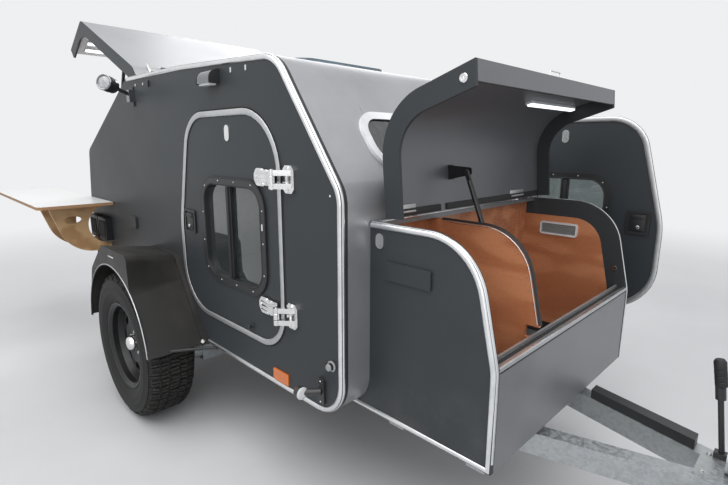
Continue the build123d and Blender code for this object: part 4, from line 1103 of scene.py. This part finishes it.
def doorRims(mark, body, turn):
    for name, (corners, depth, out, width, height, finish) in doorLook["rims"].items():
        sweep(name + mark, sideLoop(corners, depth, out, turn), finish, width, height, body, closed=True)
    screws = spread(inset(windowCorners, doorLook["screwInset"]), doorLook["screwPitch"])
    doorStuds("windowScrews" + mark, [(x, -681.0, h) for x, h in screws], smallScrew, 0.6, "zinc", body, turn)
    rail = Form().box((660, 678), (-680, -676), (806, 1183), 1.5)
    rail.box((683, 690), (-675, -671), (804, 1185), 1.0)
    rail.moved(turn).piece("slidingRail" + mark, "blackRubber", body)
    x, h = doorLook["blankPlate"]
    catch = Form().pill(930, 1052, 9, 26, -688, -681).pill(x, h, 34, 62, -675.5, -671.5, 1.4)
    catch.moved(turn).piece("doorFittings" + mark, "hingeChrome", body)
    x, h = doorLook["stop"]
    profile = [(0, 0), (13, 0), (13, 3), (7, 6), (7, 10), (11, 14), (11, 20), (8, 23), (0, 23)]
    knob = Form().lathe(profile, (x, -doorLook["wall"], h), (0, -1, 0), 20)
    knob.moved(turn).piece("doorStop" + mark, "blackPlastic", body)


def latchPiece(mark, body, turn):
    x, h = doorLook["latch"]
    plate = rectangle(x - 50, h - 53, x + 50, h + 53, 10)
    outer = roundedPath(plate, 5)
    dish = Form().slab(outer, -674, -671.5).frame(outer, inset(plate, 9, 5), -680, -672, 1.2)
    dish.box((x - 30, x + 32), (-680, -673), (h - 36, h + 38), 2.5)      # paddle
    dish.box((x - 26, x + 28), (-684, -679), (h + 18, h + 36), 2.0)      # its finger edge
    made = dish.moved(turn).piece("doorLatch" + mark, "blackPlastic", body)
    profile = [(0, 0), (7.5, 0), (7.5, 4.5), (6.3, 5.5), (3, 5.5), (3, 4), (0, 4)]
    lock = Form().lathe(profile, (x - 2, -679, h - 20), (0, -1, 0), 20)
    lock.box((x - 3, x - 1), (-685, -683), (h - 24, h - 16))
    lock.moved(turn).piece("doorLock" + mark, "hingeChrome", body)
    return made


def bothHalves(points):
    # half an outline with its mirror image in v
    return points + [(x, -v) for x, v in points[::-1]]


def strapShape(form, h):
    # cast strap with a pointed end, ribs and the middle knuckle
    edge = bothHalves([(884, 11), (897, 29), (905, 32), (944, 32), (950, 28), (1004, 28)])
    form.slab([(x, h + v) for x, v in edge], -683.8, -677.8, 1.6)
    form.box((897, 946), (-678, -672), (h - 26, h + 26))
    for low, high, top in ((12, 19, 688), (-19, -12, 688), (-5, 5, 686)):
        form.box((902, 1002), (-top, -683), (h + low, h + high), 1.8)
    plan = [(1047, 710.5), (1042, 727), (1006, 686), (984, 683.8), (984, 677.8), (1012, 677.8)]
    form.slab(plan, h - 12, h + 12, lift=lambda u, v, w: (u, -v, w))
    knuckle = [(5.2, -12), (10, -12), (11, -10.8), (11, 10.8), (10, 12), (5.2, 12), (5.2, -12)]
    form.lathe(knuckle, (1050, -720, h), (0, 0, 1), 28)


def strapPieces(mark, body, turn):
    straps = Form()
    bolts = []
    for h in doorLook["hinges"]:
        strapShape(straps, h)
        bolts += [(x, -683.8, h + v) for x, v in ((894, 0), (964, 23), (964, -23), (934, 25), (934, -25))]
    straps.moved(turn).piece("hingeStraps" + mark, "hingeChrome", body)
    doorStuds("strapBolts" + mark, bolts, strapBolt, 0.4, "hingeChrome", body, turn)


def wallPlates():
    # octagonal plates with a slot, beside the door's straps
    plates = Form()
    bolts = []
    wall = doorLook["wall"]
    outer = bothHalves([(1060, -32), (1074, -47), (1108, -47), (1122, -32)])
    inner = bothHalves([(1077, -26), (1082, -31), (1100, -31), (1105, -26)])
    for mark, side in sides:
        for h in doorLook["hinges"]:
            plates.frame(outer, inner, wall, wall + 10, 1.4, lambda u, v, w: (u, side * w, h + v))
            bolts += [(1091, side * (wall + 10), h + v) for v in (-39, 39)]
        seal = [(x, side * wall, h) for x, h in inset(doorCorners, -doorLook["sealOut"])]
        width, height = doorLook["sealWidth"], doorLook["sealHeight"]
        sweep("doorSeal" + mark, seal, "blackRubber", width, height, closed=True)
    plates.piece("hingePlates", "hingeChrome")
    fasten("plateBolts", bolts, outwards(bolts), strapBolt, 0.4)


for mark, body, turn in doorSides:
    doorRims(mark, body, turn)
    latch = latchPiece(mark, body, turn)
    strapPieces(mark, body, turn)
    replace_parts(latch, f"door_{mark.lower()}_hardware")
wallPlates()
print("door fittings made")


# Edge beads on walls and box

# from the centreline, width, height, finish: a bright bead over each board's edge and a black line inside it
edgeLook = {
    "cabinBead": (665.0, 6.0, 11.0, "brightTrim"), "cabinBeadLine": (655.0, 4.0, 5.0, "blackRubber"),
    "boxBead": (540.5, 6.0, 12.0, "brightTrim"), "boxBeadLine": (534.0, 4.0, 5.0, "blackRubber"),
}


def edgeBeads():
    cabin = cabinEdge(roundedPath(cabinCorners, 10))
    box = inOrder(roundedPath(boxCorners, 12), 1300, 800, lambda x, h: x > 1342 and h > 480)
    box = [(1826, 470)] + box + [(1352, 1108)]
    for mark, side in sides:
        for name, (out, width, height, finish) in edgeLook.items():
            points = cabin if name.startswith("cabin") else box
            sweep(name + mark, [(p[0], side * out, p[1]) for p in points], finish, width, height)


edgeBeads()
print("edge beads made")


# Front and roof windows

windowLook = {
    "outer": [(-458, 58, 120), (458, 58, 120), (458, 316, 95), (-458, 316, 95)],   # y, up the slope, radius
    "rim": 31.0,
    "topPlate": (-398.0, 300.0, 398.0, 349.0),   # skin plate over the opening's upper edge
    "roof": rectangle(170, -260, 640, 260, 60),
    "roofFrame": (36.0, 8.0),                    # how far the frame reaches out of its opening and into it
    "roofSkin": 1652.0,
}
slopeLow, slopeHigh = Vector((1347, 1205)), Vector((1025, 1650))
slopeUp = (slopeHigh - slopeLow).normalized()


def onSlope(y, up, out):
    at = slopeLow + slopeUp * up + Vector((slopeUp.y, -slopeUp.x)) * out
    return Vector((at.x, y, at.y))


def frontWindowPieces():
    # a wide pane of smoked acrylic in a white frame, over the opening in the slope
    outer, rim = windowLook["outer"], windowLook["rim"]
    surround = Form().frame(roundedPath(outer, 10), inset(outer, rim), 0, 12, 2.0, onSlope)
    made = surround.piece("frontSurround", "frameWhite")
    Form().slab(inset(outer, rim - 3), 0.5, 6, 1.0, onSlope).piece("frontPane", "windowAcrylic")
    seal = [onSlope(y, up, 8) for y, up in inset(outer, rim + 1)]
    sweep("frontGasket", seal, "blackRubber", 6, 6, closed=True, stand=(0.81, 0.0, 0.59))
    plate = Form().slab(rectangle(*windowLook["topPlate"], 0), 0, 1.5, 0.5, onSlope)
    plate.piece("frontTopPlate", "silver")
    return made


def roofWindowPieces():
    grow, inside = windowLook["roofFrame"]
    outline, top = windowLook["roof"], unplaced(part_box("window_frames")[1]).z
    rim = Form().frame(inset(outline, -grow), inset(outline, inside), windowLook["roofSkin"], top, 2.0,
                       lambda u, v, w: (u, v, w))
    rim.piece("roofWindowFrame", "frameWhite")
    seal = [(x, y, top) for x, y in inset(outline, 9 - grow)]
    sweep("roofGasket", seal, "blackRubber", 5, 5, closed=True, stand=(0.0, 0.0, 1.0))


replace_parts(frontWindowPieces(), "window_frames")
roofWindowPieces()
print("windows made")


# Nose lid and box

lidLook = {
    "barSpan": (85.0, 492.0), "barPlace": (1545.0, 1508.0), "barWidth": 24.0, "barDepth": 13.0,
    "hingeSpans": ((-518.0, -390.0), (252.0, 372.0)), "lipTop": 792.0, "lock": (1665, -525, 1525),
}
boxLook = {
    "vent": rectangle(1430, 943, 1603, 1003, 12), "slats": 6, "slatPitch": 0.0075, "knob": (1351, 376, 898),
}


def lidPieces():
    # light bar on the inner face
    base, along, normal = Vector(lidLook["barPlace"]), Vector((0.95, 0.31)), Vector((0.31, -0.95))
    half, depth = lidLook["barWidth"] / 2, lidLook["barDepth"]
    y0, y1 = lidLook["barSpan"]

    def section(w, low, high):
        corners = ((-w, low), (w, low), (w, high), (-w, high))
        return [base + along * across + normal * out for across, out in corners]

    housing = Form().slab(section(half, -4, depth * 0.6), y0, y1, 1.0)
    housing.piece("lidLightHousing", "whiteLiner", "nose_lid")
    diffuser = Form().slab(section(half * 0.78, depth * 0.5, depth), y0 + 4, y1 - 4, 2.5)
    diffuser.piece("lidLightBar", "lightBar", "nose_lid")
    x, y, h = lidLook["lock"]
    profile = [(0, 0), (13, 0), (13, 2.5), (11, 5), (6, 5), (6, 3.5), (0, 3.5)]
    lock = Form().lathe(profile, (x, y, h), (0, -1, 0), 24)
    lock.box((x - 1, x + 1), (y - 5, y - 3), (h - 4, h + 4))
    staple = ((1825, -40), (1839, -40), (1843, -34), (1843, 30), (1839, 36), (1825, 36))
    lock.rod([openLid((x, y, 786)) for x, y in staple], 2.6).piece("lidLock", "hingeChrome", "nose_lid")
    leaves = Form()
    for low, high in lidLook["hingeSpans"]:
        leaves.box((1404.5, 1408.5), (low, high), (1136, 1160), 1.2)
        leaves.rod([(1410, low + 6, 1136), (1410, high - 6, 1136)], 4.5)
    leaves.piece("lidHingeLeaves", "satinTrim", "nose_lid")
    band = Form()
    for span in ((-513, -250), (-214, 513)):      # beside the divider
        band.box((1398, 1421), span, (1089, 1096.5), 2.0)
    band.moved(openLid).piece("lidHingeSeal", "blackRubber", "nose_lid")
    seal = Form().rod([openLid((1768, y, 778)) for y in (-511, 511)], 4.5)
    seal.piece("lidLipSeal", "blackRubber", "nose_lid")


def dividerEdge(depth, rear):
    # from the divider's rear top over its curve and down to the lid's lip
    lower, upper = (Vector(corner[:2]) for corner in insetCorners(boxCorners, depth)[2:4])
    curve = inOrder(inset(boxCorners, depth, 14), 1400, 700, lambda x, h: x > rear and h > 800, True)
    foot = lower + (upper - lower) * ((lidLook["lipTop"] - lower.y) / (upper.y - lower.y))
    return [(rear, 1108 - depth)] + curve + [foot]


def boxPieces():
    profile = Form()
    for x in (1364, 1375):
        profile.box((x, x + 6), (-520, 520), (1108, 1112), 1.2)
    profile.piece("shelfProfile", "brightTrim")
    Form().box((1813, 1825), (-529, 529), (756, 758.4), 0.8).piece("sillStrip", "brightTrim")
    rubber = Form().box((1789.5, 1803), (-529, 529), (749, 753), 1.2)
    rubber.box((1825, 1827.5), (-530, 530), (741, 745), 0.8).piece("sillRubber", "blackRubber")
    # edging of the divider, with a bright line beside it
    sweep("dividerEdging", [(p[0], -232, p[1]) for p in dividerEdge(17, 1410)], "blackRubber", 8, 20)
    sweep("dividerLine", [(p[0], -240.5, p[1]) for p in dividerEdge(23, 1420)], "brightTrim", 3, 4)
    vent = boxLook["vent"]
    Form().frame(roundedPath(vent, 4), inset(vent, 8, 4), 520, 527.2, 1.2).piece("ventFrame", "frameWhite")
    Form().box((1437, 1596), (525, 527.2), (950, 996)).piece("ventBack", "greyRubber")
    slat = Form().slab([(0, 0), (2, 0), (6, 5), (4, 5)], 0, 156,
                       lift=lambda u, v, w: (1438.5 + w, 527 - u, 951.5 + v))
    row.make(slat.solid("slat"), "ventSlats", "greyRubber", copies=boxLook["slats"],
             pitch=(0.0, 0.0, boxLook["slatPitch"]))
    profile = [(0, 0), (11, 0), (11, 2), (5, 4), (5, 10), (11, 14), (13, 20), (9, 25), (0, 26)]
    Form().lathe(profile, boxLook["knob"], (1, 0, 0), 24).piece("boardKnob", "brass")
    eye = Form().lathe([(5, 0), (10, 0), (11, 2), (10, 4), (5, 4), (5, 0)], (1769, 531, 833), (0, -1, 0), 24)
    eye.pill(1390, 1050, 34, 50, -549, -545.5, 1.4).piece("boxEyelets", "hingeChrome")


lidPieces()
boxPieces()
print("nose box fittings made")


# Lamps and wall fittings

wallLook = {
    # x, h, width, height, outer y, edge radius
    "caps": ((741, 1622, 10, 20, -675, 1.2), (845, 1620, 10, 20, -675, 1.2), (-203, 1643, 10, 13, -675, 1.2),
             (-104, 1640, 10, 13, -675, 1.2), (1296, 1196, 7, 8, -674, 0.8)),
    "plates": ((-36, 1637, 14, 30, -680, 2.0), (1270, 617, 16, 24, -682, 2.0)),
    "face": -671.5,                       # just inside the wall's face
    "porchEnds": (546, 650),
    "porchSection": ((672, 1580), (719, 1580), (719, 1600), (714, 1616), (703, 1628), (688, 1635),
                     (672, 1636)),
    "marker": (1212, 1190, 737, 520),     # front and rear lens x, y from the centreline, h
    "plug": (1296, 628),
}


def wallFittings():
    chrome, black, white, disc, red = Form(), Form(), Form(), Form(), Form()
    for form, name in ((chrome, "caps"), (black, "plates")):
        for x, h, width, height, out, soft in wallLook[name]:
            form.pill(x, h, width, height, out, wallLook["face"], soft)
    front, rear, out, height = wallLook["marker"]
    for side in (-1, 1):
        # porch lamps: end plates and lenses
        for x in wallLook["porchEnds"]:
            black.slab(wallLook["porchSection"], x, x + 4, 0.8, lambda u, v, w: (w, side * u, v))
        white.box((556, 644), (side * 682, side * 711), (1575, 1586.5), 2.0)
        profile = [(0, 0), (22, 0), (22, 2.5), (18, 5), (9, 6.5), (0, 7)]
        disc.lathe(profile, (front, side * out, height), (1, 0, 0), 28)
        profile = [(0, 0), (19, 0), (19, 2), (15, 4.5), (8, 6), (0, 6.5)]
        red.lathe(profile, (rear, side * out, height), (-1, 0, 0), 28)
    # plate behind the work lamp
    black.box((-272, -234), (-678, wallLook["face"]), (1540, 1636), 1.5)
    chrome.piece("wallCaps", "hingeChrome")
    black.piece("wallPlates", "blackPlastic")
    white.piece("lampLenses", "clear")
    disc.piece("markerDiscs", "frameWhite")
    red.piece("markerRedLenses", "red")
    x, h = wallLook["plug"]
    cap = Form().lathe([(0, 0), (12.5, 0), (12.5, 3), (11, 5), (0, 5.5)], (x, -687.5, h), (0, -1, 0), 24)
    cap.lathe([(13, 0), (19, 0), (19, 3), (17, 4.5), (13, 4.5), (13, 0)], (x, -674, h), (0, -1, 0), 24)
    cap.piece("plugCap", "greyRubber")
    screws = [(1243, side * 682, 518 + v) for side in (-1, 1) for v in (-38, 38)]
    fasten("markerScrews", screws, outwards(screws), smallScrew, 0.5)


def workLampPieces():
    at, way = Vector((-172, -830, 1640)), Vector((40, -50, 10)).normalized()
    bezel = [(30, -3), (37.5, -3), (39, 0), (38, 4), (35, 6), (31, 5), (30, 2), (30, -3)]
    Form().lathe(bezel, at, way, 36).piece("workLampBezel", "lampHood")
    fins = Form()
    for k in range(4):
        near, far = -9 - 9 * k, -12 - 9 * k
        fins.lathe([(30, far), (38, far), (38, near), (30, near), (30, far)], at, way, 36)
    fins.piece("workLampFins", "blackPlastic")
    lens = [(0, 5), (12, 4.5), (24, 3), (30, 1.5), (30, 0), (0, 0)]
    Form().lathe(lens, at, way, 36).piece("workLampLens", "lampGlass")


socketLook = {"apart": 164, "ribs": 8, "ribPitch": 0.0135}


def socketPieces():
    # two rubber covers with upright ribs, each under a hinge
    for number in (0, 1):
        shift = socketLook["apart"] * number
        rib = Form().box((shift - 1086, shift - 1078), (-716, -711.5), (775, 872), 1.6, 1)
        row.make(rib.solid("rib"), f"socketRibs{number + 1}", "blackRubber", copies=socketLook["ribs"],
                 pitch=(socketLook["ribPitch"], 0.0, 0.0))
        left = shift - 1106
        pins = Form().rod([(left + 20, -708, 890), (left + 128, -708, 890)], 7)
        pins.box((left + 8, left + 140), (-715, -711), (752, 768), 2.0)
        pins.piece(f"socketHinge{number + 1}", "blackPlastic")


wallFittings()
workLampPieces()
socketPieces()
print("wall fittings made")


# Tailgate: light bars, seals and lock

gateLook = {
    "bars": ((-1116.0, 1137.0), (-1130.0, 1068.0)),   # light bars on the closed gate's liner
    "down": (-0.207, -0.978),                         # way down the liner there
    "barHalf": 575.0,
    # half width, from where to where inwards from the liner, shorter at each end by
    "barParts": (("gateLightHousing", "whiteLiner", 15, -2, 9, 0),
                 ("gateLightBar", "lightBar", 11, 8, 14, 4)),
    "side": (628.0, 640.4),                           # flange, from the centreline
    "gussetRadius": 280.0,
}


def gateBars():
    down = Vector(gateLook["down"])
    inward = Vector((-down.y, down.x))
    for number, at in enumerate(gateLook["bars"], 1):
        for name, finish, wide, low, high, shorter in gateLook["barParts"]:
            corners = ((-wide, low), (wide, low), (wide, high), (-wide, high))
            section = [Vector(at) + down * across + inward * out for across, out in corners]
            end = gateLook["barHalf"] - shorter
            Form().slab(section, -end, end, 1.2).moved(openGate).piece(name + str(number), finish, "tailgate")


def tailgatePieces():
    # gussets with a round inner edge in the flanges' rear corners, and the hinges' leaves
    before, corner, after = (Vector(insetCorners(cabinCorners, 62)[k][:2]) for k in (4, 5, 6))
    bend = [(*before, 0), (*corner, gateLook["gussetRadius"]), (*after, 0)]
    gusset = [corner] + roundedPath(bend, 12, closed=False)[1:-1]
    corners, leaves, blocks = Form(), Form(), Form()
    for side in (-1, 1):
        corners.slab(gusset, *sorted(side * y for y in gateLook["side"]))
        leaves.box((-348, -268), (side * 566, side * 546), (1697, 1705), 1.5)
        blocks.box((-318, -284), (side * 500, side * 474), (1697, 1718), 2.5)
    corners.moved(openGate).piece("gateGussets", "anthracite", "tailgate")
    leaves.moved(openGate).piece("gateHingeLeaves", "zinc", "tailgate")
    blocks.moved(openGate).piece("gateBuffers", "blackRubber", "tailgate")
    lock = Form().lathe([(0, 0), (16, 0), (16, 3), (13, 6), (0, 6)], (-1172, 0, 1060), (-1, 0, 0), 24)
    lock.box((-1196, -1178), (-50, 50), (1052, 1068), 3.0)
    lock.moved(openGate).piece("gateHandle", "hingeChrome", "tailgate")
    rubber = Form()
    for y in (-520, 520):
        rubber.box((-236, -206), (y - 62, y - 50), (1696, 1722), 3.0)
    rubber.piece("roofBuffers", "blackRubber")
    # seal on the rear opening's edges
    loop = sorted([p for p in inset(cabinCorners, 3) if p[0] < -330 and p[1] > 1010], key=lambda p: -p[0])
    for mark, side in sides:
        sweep("galleySeal" + mark, [(x, side * 659, h) for x, h in loop], "blackRubber", 6, 18)


gateBars()
tailgatePieces()
print("tailgate fittings made")


# Fenders and wheels

fenderLook = {"arch": (391.5, 392.0), "start": 6, "sweep": 168, "steps": 60, "edge": 0.991}
wheelLook = {"nuts": 5, "nutCircle": 56, "nutFace": 29.5, "valve": 172, "valveTurn": 2.0}


def fenderPieces():
    radius, middle = fenderLook["arch"]
    steps = fenderLook["steps"]
    turns = [math.radians(fenderLook["start"] + fenderLook["sweep"] * k / steps) for k in range(steps + 1)]
    arch = [(radius * math.cos(a), radius * math.sin(a)) for a in turns]
    for mark, side in sides:
        piping = [(x, side * 945.5, middle + h) for x, h in arch]
        sweep("archPiping" + mark, piping, "satinTrim", 5, 6)
        edge = [(x * fenderLook["edge"], side * 944, middle + h * fenderLook["edge"]) for x, h in arch]
        sweep("archEdge" + mark, edge, "blackRubber", 6, 10, slot="fender_plastic")
        plate = Form().box((4, 74), (side * 945.5, side * 947.5), (828, 834), 0.8)
        plate.piece("fenderSlot" + mark, "frameWhite")
        stay = [(392, side * 850, 440), (420, side * 780, 436), (462, side * 690, 430),
                (478, side * 660, 426)]
        Form().rod(stay, 7).piece("fenderStay" + mark, "blackPlastic")
        nut = [(0, 0), (10, 0), (10, 5), (7, 9), (0, 9)]
        nut = Form().lathe(nut, (411, side * 700, 450), (0.8, side * 0.5, 0.2), 16)
        nut.piece("stayNut" + mark, "zinc")


def wheelPieces():
    for mark, side in sides:
        body = "wheel_" + mark.lower()
        middle, way = Vector((0, side * vehicle["wheelY"], vehicle["tyreRadius"])), (0, side, 0)

        def onWheel(radius, angle, out=0.0):
            return middle + Vector((radius * math.cos(angle), side * out, radius * math.sin(angle)))

        turns = [2 * math.pi * k / wheelLook["nuts"] + 0.3 for k in range(wheelLook["nuts"])]
        nuts = [onWheel(wheelLook["nutCircle"], angle, wheelLook["nutFace"]) for angle in turns]
        fasten("wheelNuts" + mark, nuts, outwards(nuts), wheelNut, 0.7, "zinc", body)
        cap = [(39, 48), (40, 52), (39, 60), (34, 74), (26, 81), (12, 84), (0, 84.5)]
        Form().lathe(cap, middle, way, 40).piece("wheelCap" + mark, "hingeChrome", body)
        valve = [(0, 30), (4.5, 30), (4.5, 52), (3.2, 54), (3.2, 66), (0, 67)]
        valve = Form().lathe(valve, onWheel(wheelLook["valve"], wheelLook["valveTurn"]), way, 14)
        valve.piece("wheelValve" + mark, "blackRubber", body, "wheel_rubber")
        lip = [(203, 89), (217, 91), (219, 95), (217, 99), (211, 99), (208, 95), (203, 89)]
        Form().lathe(lip, middle, way, 96).piece("rimLip" + mark, "rimBlack", body)


fenderPieces()
wheelPieces()
print("fenders and wheels made")


# Drawbar, coupling and rear end

drawbarLook = {"folds": 9, "foldPitch": 14, "bellows": (2424, 0, 450), "gripFoot": (2242, 60, 640),
               "gripWay": (-14, 0, 80), "rings": (16, 34, 52)}
rearLook = {"lamps": 510, "lensPitch": 56, "lensHeight": 600}


def drawbarPieces():
    profile = [(27.5, 0)]
    for k in range(drawbarLook["folds"]):
        profile += [(radius, along + drawbarLook["foldPitch"] * k)
                    for radius, along in ((30, 4), (38, 8), (38, 11), (30, 15))]
    profile += [(27.5, 136), (27.5, 0)]
    bellows = Form().lathe(profile, drawbarLook["bellows"], (1, 0, 0), 36)
    bellows.piece("couplingBellows", "blackRubber", slot="coupling_black")
    profile = [(0, 0), (14, 0), (17, 4)]
    for along in drawbarLook["rings"]:
        profile += [(17, along), (15.5, along + 2), (17, along + 4)]
    profile += [(17, 78), (12, 86), (0, 87)]
    grip = Form().lathe(profile, drawbarLook["gripFoot"], drawbarLook["gripWay"], 24)
    grip.piece("handbrakeGrip", "blackRubber", slot="coupling_black")
    plate = [(x, y, 412) for x in (2240, 2310) for y in (-55, 55)]
    fasten("nosePlateBolts", plate, [(0, 0, 1)] * len(plate), hexBolt, 0.3, "zinc")
    ends = Form()
    for side in (-1, 1):
        ends.box((-1104, -1098), (side * 492, side * 548), (328, 404), 2.0)
    ends.piece("railEndCaps", "blackPlastic")


def rearPieces():
    frames, lenses = Form(), Form()
    for side in (-1, 1):
        middle = side * rearLook["lamps"]
        outer = rectangle(middle - 98, 552, middle + 98, 648, 10)
        frames.frame(roundedPath(outer, 4), inset(outer, 8.2, 4), -1187, -1171.5, 1.2,
                     lambda u, v, w: (w, u, v))
        for k, radius in ((-1, 26), (0, 24), (1, 26)):
            profile = [(0, 0), (radius, 0), (radius, 2), (radius * 0.8, 4), (radius * 0.5, 3), (0, 5)]
            start = (-1194, middle + k * rearLook["lensPitch"], rearLook["lensHeight"])
            lenses.lathe(profile, start, (-1, 0, 0), 28)
    frames.box((-1180, -1171.5), (-262, 262), (520, 636), 2.0)
    frames.piece("rearLampFrames", "blackPlastic")
    lenses.piece("rearLenses", "red")
    Form().box((-1182.5, -1179.5), (-255, 255), (527, 629), 1.0).piece("plateBlank", "frameWhite")


drawbarPieces()
rearPieces()
print("drawbar and rear fittings made")


# Floor, light and world

light = {
    # name, place, aim, size, power
    "lamps": (("roofPanels", (-1.2, -1.6, 4.2), (-1.8, 0.0, 0.2), (6.0, 5.0), 232.0),
              ("besideCamera", (1.8, -4.6, 2.0), (-1.5, -0.4, 0.3), (4.0, 3.0), 48.0),
              ("behind", (-5.6, 3.0, 3.0), (-2.0, 0.0, 0.6), (4.0, 3.0), 100.0)),
    "world": 0.52, "back": (0.86, 0.87, 0.88),
}
floorLook = {"radius": 30.0, "middle": 600.0, "fade": (2.6, 8.0)}

for name, at, aim, size, power in light["lamps"]:
    data = bpy.data.lights.new(name, "AREA")
    data.shape = "RECTANGLE"
    data.size, data.size_y = size
    data.energy = power
    lamp = addObject(name, data)
    lamp.location = at
    lamp.rotation_euler = (Vector(aim) - Vector(at)).to_track_quat("-Z", "Y").to_euler()


def directView(tree):
    # 1 where a surface is seen by the camera, in a reflection or through glass
    kinds = ("Camera", "Glossy", "Transmission")
    seen = [tree.add("ShaderNodeLightPath", output=f"Is {kind} Ray") for kind in kinds]
    return seen[0].most(seen[1]).most(seen[2])


def paleFloor():
    form = bmesh.new()
    bmesh.ops.create_circle(form, cap_ends=True, segments=96, radius=floorLook["radius"])
    for vert in form.verts:
        vert.co += place(floorLook["middle"], 0, 0)
    mesh = meshFrom(form, "floor")
    finish = Finish("floorFinish", roughness=0.75)
    cloud = finish.noise(0.9, 4.0, 0.55)
    finish.put(colour=finish.mix(cloud.ramp(0.3, 0.7), (0.60, 0.605, 0.61), (0.65, 0.655, 0.66)))
    # far from the trailer the floor fades into the pale background
    away = ((finish.axis("X") + 1.9) ** 2.0 + finish.axis("Y") ** 2.0) ** 0.5
    back = finish.add("ShaderNodeEmission", sockets={"Color": light["back"], "Strength": 1.0})
    near = Wire(finish, finish.shader.outputs[0])
    sockets = {0: away.ramp(*floorLook["fade"]) * directView(finish), 1: near, 2: back}
    finish.feed(finish.end.inputs["Surface"], finish.add("ShaderNodeMixShader", sockets=sockets))
    mesh.materials.append(finish.material)
    addObject("floor", mesh)


paleFloor()

world = bpy.data.worlds.new("paleRoom")
bpy.context.scene.world = world
world.use_nodes = True
sky = Tree(world.node_tree)
world.node_tree.nodes.clear()
plain = sky.add("ShaderNodeBackground", sockets={"Color": (0.93, 0.95, 1.0), "Strength": light["world"]})
shown = sky.add("ShaderNodeBackground", sockets={"Color": light["back"], "Strength": 1.0})
both = sky.add("ShaderNodeMixShader", sockets={0: directView(sky), 1: plain, 2: shown})
sky.add("ShaderNodeOutputWorld", sockets={"Surface": both}, output=None)
bpy.context.scene.view_settings.view_transform = "Standard"
print("light and floor set")
